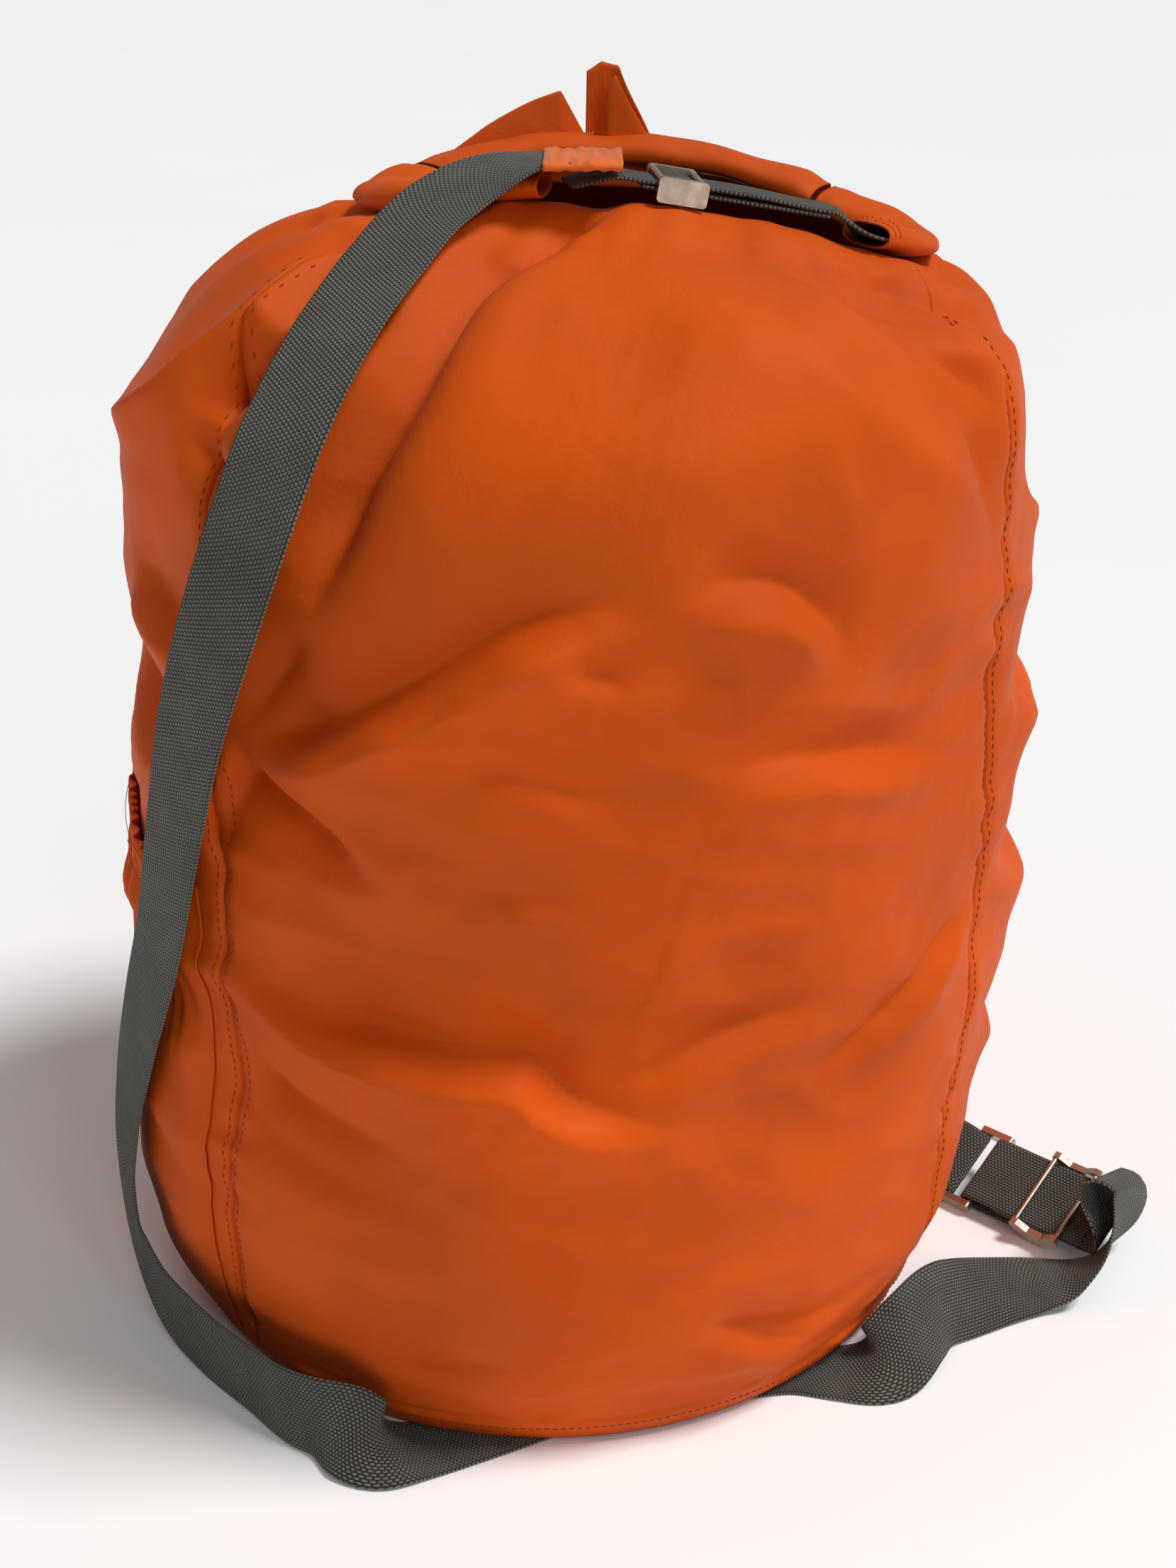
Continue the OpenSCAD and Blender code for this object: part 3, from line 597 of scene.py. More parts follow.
# Folds of the filled bag. Each is a line of [angle in degrees, height in millimetres] with the
# widths in millimetres of its slopes on the upper and the lower side, its depth and its lower roll
FOLDS = [
    # edge of the front's broad swelling, from the mouth down behind the strap
    dict(line=[[-94, 538], [-102, 524], [-110, 502], [-112, 472], [-116, 440], [-119, 408], [-121, 386]],
         wide=(9, 40), deep=17, roll=11, ends=(0.15, 0.3)),
    dict(line=[[-119, 392], [-126, 370], [-131, 340]], wide=(12, 12), deep=8, roll=3, ends=(0.5, 0.4)),
    # creases across the front
    dict(line=[[-131, 338], [-120, 352], [-106, 381], [-96, 402], [-86, 409], [-80, 402]],
         wide=(26, 9), deep=13, roll=8, ends=(0.2, 0.35)),
    dict(line=[[-81, 404], [-75, 415], [-67, 413], [-61, 396], [-57, 372]],
         wide=(20, 10), deep=9, roll=7, ends=(0.4, 0.4)),
    dict(line=[[-135, 322], [-128, 314], [-120, 302], [-110, 283]],
         wide=(9, 17), deep=12, roll=-3, ends=(0.1, 0.5)),
    dict(line=[[-134, 236], [-124, 225], [-112, 219], [-102, 215], [-95, 212], [-91, 198], [-86, 189],
               [-80, 187], [-73, 190]],
         wide=(27, 7), deep=12, roll=7, ends=(0.3, 0.35)),
    dict(line=[[-87, 194], [-82, 205], [-74, 218], [-64, 226], [-55, 230]],
         wide=(20, 8), deep=7, roll=4, ends=(0.3, 0.5)),
    dict(line=[[-136, 200], [-130, 176], [-122, 166], [-112, 163], [-104, 165]],
         wide=(9, 15), deep=9, roll=-3, ends=(0.3, 0.5)),
    dict(line=[[-62, 184], [-54, 196], [-44, 214], [-31, 240]],
         wide=(8, 6), deep=4.5, roll=3, ends=(0.4, 0.2)),
    dict(line=[[-78, 334], [-70, 343], [-58, 340], [-44, 326], [-34, 318]],
         wide=(24, 8), deep=7, roll=5, ends=(0.3, 0.4)),
    dict(line=[[-92, 378], [-87, 386], [-84, 372]], wide=(9, 9), deep=6, roll=1, ends=(0.5, 0.5)),
    dict(line=[[-103, 353], [-97, 346], [-88, 338], [-82, 337]],
         wide=(6, 5), deep=3, roll=2, ends=(0.4, 0.5)),
    dict(line=[[-104, 290], [-96, 292], [-86, 286]], wide=(8, 4), deep=2, roll=1, ends=(0.4, 0.5)),
    dict(line=[[-98, 250], [-97, 275], [-100, 300]], wide=(5, 5), deep=1.5, roll=0.5, ends=(0.5, 0.5)),
    dict(line=[[-72, 72], [-64, 62], [-54, 54], [-46, 49]], wide=(7, 9), deep=6, roll=3, ends=(0.3, 0.5)),
    dict(line=[[-66, 60], [-58, 44], [-50, 36]], wide=(5, 7), deep=4, roll=1, ends=(0.4, 0.5)),
    dict(line=[[-116, 60], [-104, 54], [-92, 57]], wide=(10, 8), deep=3, roll=2, ends=(0.4, 0.4)),
    # right shoulder, where the front's swelling turns back to the mouth
    dict(line=[[-84, 538], [-76, 530], [-64, 519], [-52, 497], [-38, 470], [-24, 436]],
         wide=(8, 32), deep=9, roll=8, ends=(0.2, 0.3)),
    dict(line=[[-66, 528], [-56, 515], [-44, 503], [-30, 490], [-14, 470]],
         wide=(10, 14), deep=9, roll=6, ends=(0.2, 0.4)),
    dict(line=[[-46, 522], [-32, 506], [-16, 492], [0, 478]],
         wide=(9, 12), deep=8, roll=4, ends=(0.2, 0.5)),
    dict(line=[[-34, 400], [-37, 440], [-44, 470]], wide=(12, 18), deep=5, roll=3, ends=(0.5, 0.5)),
    # left shoulder behind the strap
    dict(line=[[-174, 452], [-160, 442], [-148, 452], [-138, 474], [-128, 496], [-120, 512]],
         wide=(12, 16), deep=-11, roll=0, ends=(0.4, 0.3)),
    dict(line=[[-141, 452], [-133, 466], [-126, 482], [-118, 494]],
         wide=(9, 9), deep=15, roll=3, ends=(0.3, 0.3)),
    dict(line=[[-142, 450], [-135, 440], [-128, 428]], wide=(8, 10), deep=8, roll=2, ends=(0.3, 0.5)),
    dict(line=[[-150, 498], [-139, 510], [-128, 520], [-118, 524]],
         wide=(14, 9), deep=13, roll=6, ends=(0.4, 0.2)),
    dict(line=[[-158, 396], [-148, 388], [-140, 380], [-132, 366]],
         wide=(20, 10), deep=6, roll=6, ends=(0.4, 0.5)),
    dict(line=[[-176, 352], [-160, 330], [-146, 322], [-137, 330]],
         wide=(24, 10), deep=8, roll=4, ends=(0.5, 0.4)),
    # sides and back
    dict(line=[[-26, 330], [-14, 318], [2, 322], [16, 336]], wide=(24, 9), deep=9, roll=6, ends=(0.4, 0.5)),
    dict(line=[[-26, 250], [-12, 232], [6, 226], [24, 236], [40, 254]],
         wide=(26, 9), deep=10, roll=6, ends=(0.3, 0.4)),
    dict(line=[[-22, 150], [-6, 136], [14, 140], [30, 156]], wide=(20, 9), deep=7, roll=5, ends=(0.4, 0.5)),
    dict(line=[[-20, 424], [-6, 410], [12, 402], [30, 410]],
         wide=(24, 10), deep=9, roll=6, ends=(0.4, 0.5)),
    dict(line=[[48, 382], [62, 372], [80, 378], [96, 394], [112, 398]],
         wide=(26, 9), deep=12, roll=7, ends=(0.3, 0.4)),
    dict(line=[[56, 262], [74, 246], [92, 240], [108, 250], [122, 268]],
         wide=(26, 8), deep=11, roll=6, ends=(0.3, 0.4)),
    dict(line=[[92, 320], [106, 306], [122, 306], [138, 318]],
         wide=(20, 9), deep=9, roll=5, ends=(0.4, 0.4)),
    dict(line=[[50, 172], [66, 156], [84, 150], [104, 158]], wide=(20, 8), deep=8, roll=4, ends=(0.4, 0.5)),
    dict(line=[[104, 196], [120, 178], [136, 170], [148, 176]],
         wide=(18, 8), deep=8, roll=4, ends=(0.4, 0.5)),
    dict(line=[[64, 96], [80, 78], [96, 72], [110, 80]], wide=(12, 8), deep=5, roll=3, ends=(0.4, 0.5)),
    dict(line=[[154, 330], [166, 318], [178, 324]], wide=(20, 9), deep=9, roll=5, ends=(0.4, 0.5)),
    dict(line=[[40, 470], [56, 452], [74, 448], [92, 458]], wide=(18, 9), deep=9, roll=5, ends=(0.4, 0.5)),
    dict(line=[[112, 478], [126, 456], [142, 448], [156, 452]],
         wide=(18, 9), deep=9, roll=5, ends=(0.4, 0.5)),
]


FOLD_SCALE = 1.5
RIDGE_BLUNT = 1.6 * MM


def fold_relief(u, v, fold):
    """Height of one fold over the cloth at places u, v in metres. Across the fold's line it is a valley
    whose slopes fade with e to the minus distance over width, and a rounded roll below the valley. Along
    the line it fades in and out over the shares in ends."""
    line = np.array(fold["line"], float)
    lu, lv = np.radians(line[:, 0]) * BODY_R, line[:, 1] * MM
    lengths = np.hypot(np.diff(lu), np.diff(lv))
    reached = np.concatenate([[0], np.cumsum(lengths)])
    t = np.linspace(0, reached[-1], 8 * len(lu))
    path = curve(t, reached, np.stack([lu, lv], -1))
    best = np.full(u.shape, 1e9)
    signed, share = np.zeros(u.shape), np.zeros(u.shape)
    for k in range(len(path) - 1):
        step = path[k + 1] - path[k]
        size = np.hypot(*step)
        s = np.clip(((u - path[k, 0]) * step[0] + (v - path[k, 1]) * step[1]) / size**2, 0, 1)
        du, dv = u - path[k, 0] - s * step[0], v - path[k, 1] - s * step[1]
        far = du**2 + dv**2
        nearer = far < best
        best = np.where(nearer, far, best)
        signed = np.where(nearer, np.sign(step[0] * dv - step[1] * du), signed)
        share = np.where(nearer, (k + s) / (len(path) - 1), share)
    far = np.sqrt(best)
    upper, lower = np.array(fold["wide"]) * MM
    soft = np.sqrt(far**2 + RIDGE_BLUNT**2) - RIDGE_BLUNT
    valley = -np.exp(-soft / np.where(signed > 0, upper, lower))
    ridge_at = signed * far + 1.3 * lower + 3 * MM
    roll = np.exp((RIDGE_BLUNT - np.sqrt(ridge_at**2 + RIDGE_BLUNT**2)) / (0.9 * lower + 5 * MM))
    start, end = fold["ends"]
    fade = smoothstep(share / start) * smoothstep((1 - share) / end)
    return FOLD_SCALE * (valley * fold["deep"] + roll * fold["roll"]) * MM * fade


def mouth_pleats(a, t):
    """Gathers at the mouth: waves of the angle, uneven in width, that grow towards the edge."""
    grow = smoothstep((t - 0.82) / 0.17)
    wave = np.sin(9 * a + 0.8 * np.sin(2 * a + 1)) + 0.5 * np.sin(17 * a + 2 * np.sin(3 * a))
    fine = np.sin(34 * a + 3 * np.sin(4 * a)) * smoothstep((t - 0.93) / 0.07)
    return (3.2 * wave * grow * (1 - 0.55 * smoothstep((t - 0.96) / 0.04)) + 0.9 * fine) * MM


def lobes(a, t):
    """Broad swellings that the rope inside makes, larger at the shoulders than at the base."""
    d = np.degrees(a)
    d = (d + 180) % 360 - 180
    high = bell((t - 0.82) / 0.1)
    low = bell((t - 0.35) / 0.25)
    front = 14 * high * bell((d + 74) / 30)
    left = 1 * bell((t - 0.78) / 0.13) * bell((d + 168) / 36)
    right = -2 * bell((t - 0.8) / 0.12) * bell((d - 2) / 34)
    back = 10 * high * bell((d - 104) / 40)
    waist = -7 * bell((t - 0.62) / 0.05) * bell((d + 160) / 30)
    belly = 4 * low * np.sin(2 * a + 0.6) + 3 * bell((t - 0.6) / 0.2) * np.sin(3 * a + 2)
    return (front + left + right + back + waist + belly) * MM


def shell_heights(rows):
    """Height shares of the shell's rows, closer together near the hem and the mouth."""
    s = np.linspace(0, 1, rows)
    return s - 0.315 / TAU * np.sin(TAU * s)


# Small creases all over the cloth: seed, number of waves, shortest and longest in metres, then the
# height in millimetres
CREASES = ((7, 9, 0.09, 0.22, 4.2), (8, 14, 0.04, 0.1, 1.7), (9, 16, 0.018, 0.04, 0.45))


def folded_shell(angles, shares):
    """Grid of the whole shell: the smooth body moved along its normals by swellings, folds, pleats and
    small creases. Rows are height shares and columns angles in degrees."""
    a, t = np.meshgrid(np.radians(angles), shares)
    body = smooth_body(a, t)
    normal = normals_of(body, wrap=True)
    u, v = a * BODY_R, t * MOUTH_H
    relief = lobes(a, t) + mouth_pleats(a, t)
    for fold in FOLDS:
        lowest = min(x for x, _ in fold["line"])
        for turn in (0, TAU * BODY_R) if lowest < -150 else (0,):
            relief = relief + fold_relief(u - turn, v, fold)
    around = BODY_R * (np.cos(a) + 0.5 * np.sin(a))
    for seed, count, low, high, tall in CREASES:
        crease = 1 - np.sqrt(waves(around, v, seed, count, low, high, 1.5) ** 2 + 0.002)
        relief = relief + tall * MM * (crease - 0.75) * bell((t - 0.52) / 0.45)
    keep = smoothstep(t / 0.07) * (1 - 0.75 * smoothstep((t - 0.955) / 0.045))
    moved = body + normal * (relief * keep)[..., None]
    moved[..., 2] = np.maximum(moved[..., 2], HEM_Z)
    return moved


def seam_pucker(points, angles, shares, seam):
    """Pulls the cloth in along a seam and ripples it beside the stitches."""
    a = np.asarray(angles)[None, :]
    d = ((a - seam + 180) % 360 - 180) * math.pi / 180 * BODY_R
    t = np.asarray(shares)[:, None]
    v = t * MOUTH_H
    pull = -2.6 * MM * bell(d / (4 * MM))
    uneven = 0.35 + 0.65 * np.abs(np.sin(TAU * v / 0.17 + 1.3 * seam))
    ripple = 1.1 * MM * np.sin(TAU * v / 0.026 + 3 * np.sin(TAU * v / 0.13)) * bell(d / (13 * MM)) * uneven
    keep = smoothstep(t / 0.06) * smoothstep((0.97 - t) / 0.08)
    return points + normals_of(points, wrap=True) * ((pull + ripple) * keep)[..., None]


SHELL = {}


def shell_grid():
    """The whole shell's grid, computed once: folded, simulated, and puckered along its seams."""
    if not SHELL:
        angles = np.arange(-180, 180, COLUMN_STEP)
        shares = shell_heights(ROWS)
        points = folded_shell(angles, shares)
        points = points + settled(points)
        for seam in SEAMS:
            points = seam_pucker(points, angles, shares, seam)
        points = under_strap(points)
        points[..., 2] = np.maximum(points[..., 2], HEM_Z)
        SHELL.update(angles=angles, shares=shares, points=points, normals=normals_of(points, wrap=True))
    return SHELL


def settled(points):
    """How far a short cloth simulation moves the shell. A coarse copy, pinned along the hem and the mouth,
    settles under light gravity and the rope's push, held here as pressure; its moves, at most a few
    millimetres, are carried back to the full grid between the coarse points."""
    rows, cols = points.shape[:2]
    r = np.round(np.linspace(0, rows - 1, SETTLE_ROWS)).astype(int)
    c = np.arange(0, cols, SETTLE_EVERY)
    coarse = points[r][:, c]
    cloth = mesh_object("cloth_simulation", coarse, grid_faces(len(r), len(c), wrap=True))
    pins = cloth.vertex_groups.new(name="pins")
    index = np.arange(len(r) * len(c)).reshape(len(r), len(c))
    held = np.concatenate([index[:4].ravel(), index[-5:].ravel()])
    pins.add(held.tolist(), 1.0, "REPLACE")
    made = cloth.modifiers.new("Cloth", "CLOTH").settings
    made.quality = 5
    made.mass = 0.12
    made.tension_stiffness = 18
    made.compression_stiffness = 8
    made.shear_stiffness = 4
    made.bending_stiffness = 0.05
    made.vertex_group_mass = "pins"
    made.effector_weights.gravity = 0.35
    made.use_pressure = True
    made.uniform_pressure_force = 1.6
    scene = bpy.context.scene
    for frame_number in range(1, SETTLE_FRAMES + 1):
        scene.frame_set(frame_number)
    after = cloth.evaluated_get(bpy.context.evaluated_depsgraph_get()).data
    co = np.zeros(coarse.size)
    after.vertices.foreach_get("co", co)
    scene.frame_set(1)
    bpy.data.objects.remove(cloth)
    moved = co.reshape(coarse.shape) - coarse
    size = np.linalg.norm(moved, axis=-1, keepdims=True)
    moved = moved * (SETTLE_LIMIT * np.tanh(size / SETTLE_LIMIT) / np.maximum(size, 1e-9))
    place = np.interp(np.arange(rows), r, np.arange(len(r)))
    r0 = np.minimum(place.astype(int), len(r) - 2)
    fr = (place - r0)[:, None, None]
    column = np.arange(cols) / SETTLE_EVERY
    c0 = column.astype(int) % len(c)
    fc = (column - column.astype(int))[None, :, None]
    c1 = (c0 + 1) % len(c)
    low = moved[r0][:, c0] * (1 - fc) + moved[r0][:, c1] * fc
    high = moved[r0 + 1][:, c0] * (1 - fc) + moved[r0 + 1][:, c1] * fc
    return low * (1 - fr) + high * fr


def under_strap(points):
    """Presses the shell in behind the strap: in the strap's own section the cloth stays below its inner
    face, and may rise again beside the strap at a fixed slope."""
    path, face = strap_route()
    path, face = path[8:150:2], face[8:150:2]
    t = unit(np.gradient(path, axis=0))
    w = unit(np.cross(t, face))
    n = np.cross(w, t)
    flat = points.reshape(-1, 3).copy()
    best = np.full(len(flat), 1e9)
    nearest = np.zeros(len(flat), int)
    for k in range(len(path)):
        far = ((flat - path[k]) ** 2).sum(1)
        closer = far < best
        best, nearest = np.where(closer, far, best), np.where(closer, k, nearest)
    d = flat - path[nearest]
    across = np.abs((d * w[nearest]).sum(1))
    above = (d * n[nearest]).sum(1)
    limit = -STRAP_HOLLOW + 0.9 * np.maximum(0, across - 21 * MM)
    high = np.where(best < STRAP_REACH**2, np.maximum(0, above - limit), 0)
    high = high * smoothstep((STRAP_REACH - np.sqrt(best)) / 0.03)
    return (flat - n[nearest] * high[:, None]).reshape(points.shape)


def on_shell(a, z, out=0.0):
    """Points of the finished shell at angles in degrees and heights in metres, moved out along its
    normals, and those normals."""
    grid = shell_grid()
    a, z = np.broadcast_arrays(np.asarray(a, float), np.asarray(z, float))
    col = ((a + 180) % 360) / COLUMN_STEP
    c0 = np.floor(col).astype(int) % len(grid["angles"])
    c1 = (c0 + 1) % len(grid["angles"])
    fc = (col - np.floor(col))[..., None]
    row = np.interp(z / MOUTH_H, grid["shares"], np.arange(len(grid["shares"])))
    r0 = np.minimum(row.astype(int), len(grid["shares"]) - 2)
    fr = (row - r0)[..., None]

    def pick(g):
        low = g[r0, c0] * (1 - fc) + g[r0, c1] * fc
        high = g[r0 + 1, c0] * (1 - fc) + g[r0 + 1, c1] * fc
        return low * (1 - fr) + high * fr

    n = unit(pick(grid["normals"]))
    return pick(grid["points"]) + n * np.asarray(out)[..., None], n


# ---------- stitches ----------


def stitch_row(places, normals, length, radius):
    """One small closed lozenge for each stitch, its length along the row and its top rounded outwards."""
    places, normals = np.asarray(places), unit(np.asarray(normals))
    along = unit(np.gradient(places, axis=0))
    across = unit(np.cross(along, normals))
    rings = ((-1, 0.35, 0.2), (-0.55, 1, 1), (0.55, 1, 1), (1, 0.35, 0.2))
    section = ((1, 0), (0.5, 0.8), (-0.5, 0.8), (-1, 0), (-0.5, -0.5), (0.5, -0.5))
    points = [
        places + along * (s * length / 2) + across * (x * radius * wide) + normals * (y * radius * high)
        for s, wide, high in rings for x, y in section
    ]
    points = np.stack(points, 1).reshape(-1, 3)
    one = [[r * 6 + k, (r + 1) * 6 + k, (r + 1) * 6 + (k + 1) % 6, r * 6 + (k + 1) % 6]
           for r in range(3) for k in range(6)]
    caps = [[0, 1, 2, 3, 4, 5], [23, 22, 21, 20, 19, 18]]
    faces = [[24 * j + i for i in f] for j in range(len(places)) for f in one + caps]
    return points, faces


def stitches(name, rows, length, radius, material):
    """One piece made of several rows of stitches."""
    points, faces = [], []
    for places, normals in rows:
        p, f = stitch_row(places, normals, length, radius)
        start = sum(len(q) for q in points)
        points.append(p)
        faces.extend([[start + i for i in g] for g in f])
    points = np.concatenate(points)
    obj = mesh_object(name, points, faces, points[:, :2])
    outward(obj)
    use(obj, material)
    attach(obj, "bag")


# ---------- operators ----------


class BagSettings(bpy.types.PropertyGroup):
    """Sizes and colours that a user would change."""

    shell_colour: bpy.props.FloatVectorProperty(
        name="Cloth colour", description="Colour of the bag's cloth", subtype="COLOR", size=3, min=0, max=1,
        default=(0.62, 0.082, 0.002))
    tab_colour: bpy.props.FloatVectorProperty(
        name="Tab colour", description="Colour of the mouth's tab", subtype="COLOR", size=3, min=0, max=1,
        default=(0.66, 0.13, 0.02))
    webbing_colour: bpy.props.FloatVectorProperty(
        name="Webbing colour", description="Colour of the strap", subtype="COLOR", size=3, min=0, max=1,
        default=(0.115, 0.112, 0.09))
    metal_colour: bpy.props.FloatVectorProperty(
        name="Metal colour", description="Colour of the plating", subtype="COLOR", size=3, min=0, max=1,
        default=(0.66, 0.58, 0.47))
    cloth_thick: bpy.props.FloatProperty(
        name="Cloth thickness", description="Thickness of the wall panels' cloth", unit="LENGTH",
        default=0.8 * MM, min=0.3 * MM, max=2 * MM)


class BAG_OT_stage(bpy.types.Operator):
    """Floor, lights and camera"""

    bl_idname = "bag.stage"
    bl_label = "Stage"

    def execute(self, context):
        scene = context.scene
        scene.view_settings.view_transform = "Standard"
        world = bpy.data.worlds.new("Studio")
        world.use_nodes = True
        world.node_tree.nodes["Background"].inputs[0].default_value = (1, 1, 1, 1)
        world.node_tree.nodes["Background"].inputs[1].default_value = 0.3
        scene.world = world
        floor_points = np.array([[-6, -6, 0], [6, -6, 0], [6, 9, 0], [-6, 9, 0]], float)
        floor = mesh_object("floor", floor_points, [[0, 1, 2, 3]], smooth=False)
        paper, tree, shader = new_material("Floor paper", 0.8)
        coords = node(tree, "ShaderNodeTexCoord")
        soft = node(tree, "ShaderNodeTexNoise", {"Vector": coords.outputs["Object"], "Scale": 1.5})
        tint = mix_colour(tree, soft.outputs["Fac"], (0.93, 0.93, 0.93, 1), (0.96, 0.96, 0.955, 1))
        tree.links.new(tint, shader.inputs["Base Color"])
        use(floor, paper)
        lights = (
            ("key", "SUN", (0.75, -0.1, 1.6), (0, 0, 0.25), math.radians(16), 2.35),
            ("front", "AREA", (0.9, -2.0, 1.5), (0, 0, 0.3), 0.8, 9.0),
        )
        for name, kind, place, target, size, power in lights:
            data = bpy.data.lights.new(name, kind)
            if kind == "SUN":
                data.angle = size
            else:
                data.size = size
            data.energy = power
            lamp = bpy.data.objects.new(name, data)
            lamp.location = place
            lamp.rotation_euler = direction_euler(unit(np.array(target) - np.array(place)))
            scene.collection.objects.link(lamp)
        data = bpy.data.cameras.new("camera")
        data.lens = CAMERA_LENS
        data.sensor_width = 36
        data.clip_start = 0.01
        camera = bpy.data.objects.new("camera", data)
        camera.location = CAMERA_PLACE
        camera.rotation_euler = (CAMERA_PITCH, 0, 0)
        scene.collection.objects.link(camera)
        scene.camera = camera
        return {"FINISHED"}


def direction_euler(aim):
    """Rotation that turns a lamp's -Z axis towards aim."""
    return Vector(aim.tolist()).to_track_quat("-Z", "Y").to_euler()


class BAG_OT_strap(bpy.types.Operator):
    """Sling strap from the mouth down to the buckles"""

    bl_idname = "bag.strap"
    bl_label = "Strap"

    def execute(self, context):
        m = finishes(context.scene.bag)
        path, face = strap_route()
        strap = ribbon("sling_strap", path, face, STRAP_W, m["strap"], "strap")
        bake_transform(strap)
        return {"FINISHED"}


class BAG_OT_buckle_webbing(bpy.types.Operator):
    """Webbing round the ring and the slider"""

    bl_idname = "bag.buckle_webbing"
    bl_label = "Buckle webbing"

    def execute(self, context):
        m = finishes(context.scene.bag)
        line = np.concatenate([
            [[TAIL_X + 6 * MM, LAYER_R], [GLIDE_X, LAYER_R], [35 * MM, LAYER_R]],
            arc(RING_GAP, LAYER_R, 90, 270, 13),
            [[30 * MM, -LAYER_R], [GLIDE_X - GLIDE_L / 2, -LAYER_R]],
        ])
        path, face = strip_route(line)
        ribbon("doubled_strap", path, face, STRAP_W, m["strap"], "strap_tail", "strap_end")
        line = np.concatenate([
            [[GLIDE_X - FOLD_L, FOLD_R], [GLIDE_X - 12 * MM, FOLD_R]],
            arc(GLIDE_X, FOLD_R, 90, -90, 9),
            [[GLIDE_X - 12 * MM, -FOLD_R], [GLIDE_X - FOLD_L, -FOLD_R]],
        ])
        path, face = strip_route(line)
        ribbon("sewn_strap_end", path, face, STRAP_W, m["strap"], "strap_fold", "adjuster")
        return {"FINISHED"}


class BAG_OT_shell(bpy.types.Operator):
    """Four cloth panels of the filled bag"""

    bl_idname = "bag.shell"
    bl_label = "Cloth panels"

    def execute(self, context):
        settings = context.scene.bag
        m = finishes(settings)
        grid = shell_grid()
        count = len(grid["angles"])
        seams = {
            "front_cloth": (FRONT_A0, FRONT_A1, "front_panel"),
            "right_cloth": (FRONT_A1, BACK_A0, "right_side_panel"),
            "back_cloth": (BACK_A0, BACK_A1, "back_panel"),
            "left_cloth": (BACK_A1, FRONT_A0 + 360, "left_side_panel"),
        }
        v = grid["shares"] * MOUTH_H
        for name, (a0, a1, cad) in seams.items():
            first, last = round((a0 + 180) / COLUMN_STEP), round((a1 + 180) / COLUMN_STEP)
            cols = np.arange(first, last + 1)
            points = grid["points"][:, cols % count]
            u = cols * COLUMN_STEP * math.pi / 180 * BODY_R
            uvs = np.stack(np.broadcast_arrays(u[None, :], v[:, None]), -1)
            panel = mesh_object(name, points, grid_faces(*points.shape[:2]), uvs)
            finish_cloth(panel, settings.cloth_thick, m["shell"], [cad])
        return {"FINISHED"}


class BAG_OT_base(bpy.types.Operator):
    """Base cloth and its bound seam"""

    bl_idname = "bag.base"
    bl_label = "Base"

    def execute(self, context):
        m = finishes(context.scene.bag)
        for name in ("base_panel", "base_binding"):
            use_on_cad(name, m["base"])
        return {"FINISHED"}


def use_on_cad(name, material):
    """Material on a CAD node that stays as it is."""
    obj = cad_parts[name]
    if not obj.data.uv_layers.get("Cloth"):
        layer = obj.data.uv_layers.new(name="Cloth")
        co = np.zeros(len(obj.data.vertices) * 3)
        obj.data.vertices.foreach_get("co", co)
        corner = np.zeros(len(obj.data.loops), np.int32)
        obj.data.loops.foreach_get("vertex_index", corner)
        layer.data.foreach_set("uv", co.reshape(-1, 3)[corner, :2].astype(np.float32).ravel())
    obj.data.materials.clear()
    obj.data.materials.append(material)


class BAG_OT_pocket(bpy.types.Operator):
    """Side pocket with its gathered hem"""

    bl_idname = "bag.pocket"
    bl_label = "Side pocket"

    def execute(self, context):
        m = finishes(context.scene.bag)
        angles = np.linspace(POCKET_A0, POCKET_A1, 200)
        heights = np.linspace(POCKET_LOW, POCKET_TOP, 120) * MM
        a, z = np.meshgrid(angles, heights)
        u = np.radians(a) * BODY_R
        top = smoothstep((z - 0.15) / 0.095)
        shirr = 1.7 * np.sin(TAU * u / 0.0105 + 2.2 * np.sin(TAU * u / 0.06) + 3 * z / 0.09) * top
        slack = 5.5 * bell((z - 0.13) / 0.07) * bell((a - 190) / 22) + 1.4 * waves(u, z, 5, 10, 0.04, 0.14)
        edge = smoothstep((a - POCKET_A0) / 4) * smoothstep((POCKET_A1 - a) / 4)
        edge = edge * smoothstep((z - POCKET_LOW * MM) / 0.02)
        hem = 1.6 * (z > 0.242)
        out = 0.8 + (2.6 + shirr + slack + hem) * (0.12 + 0.88 * edge)
        points, _ = on_shell(a, z, np.maximum(out, 0.8) * MM)
        v = np.linspace(0, 0.25, 120)
        uvs = np.stack(np.broadcast_arrays(u, v[:, None]), -1)
        pocket = mesh_object("pocket_cloth", points, grid_faces(*points.shape[:2]), uvs)
        finish_cloth(pocket, THIN_CLOTH, m["shell"], ["side_pocket", "pocket_elastic"])
        rows = [on_shell(angles, np.full(200, h) * MM, 6.6 * MM) for h in (243.5, 259)]
        stitches("pocket_hem_stitches", rows, 0.9 * MM, 0.25 * MM, m["thread"])
        return {"FINISHED"}


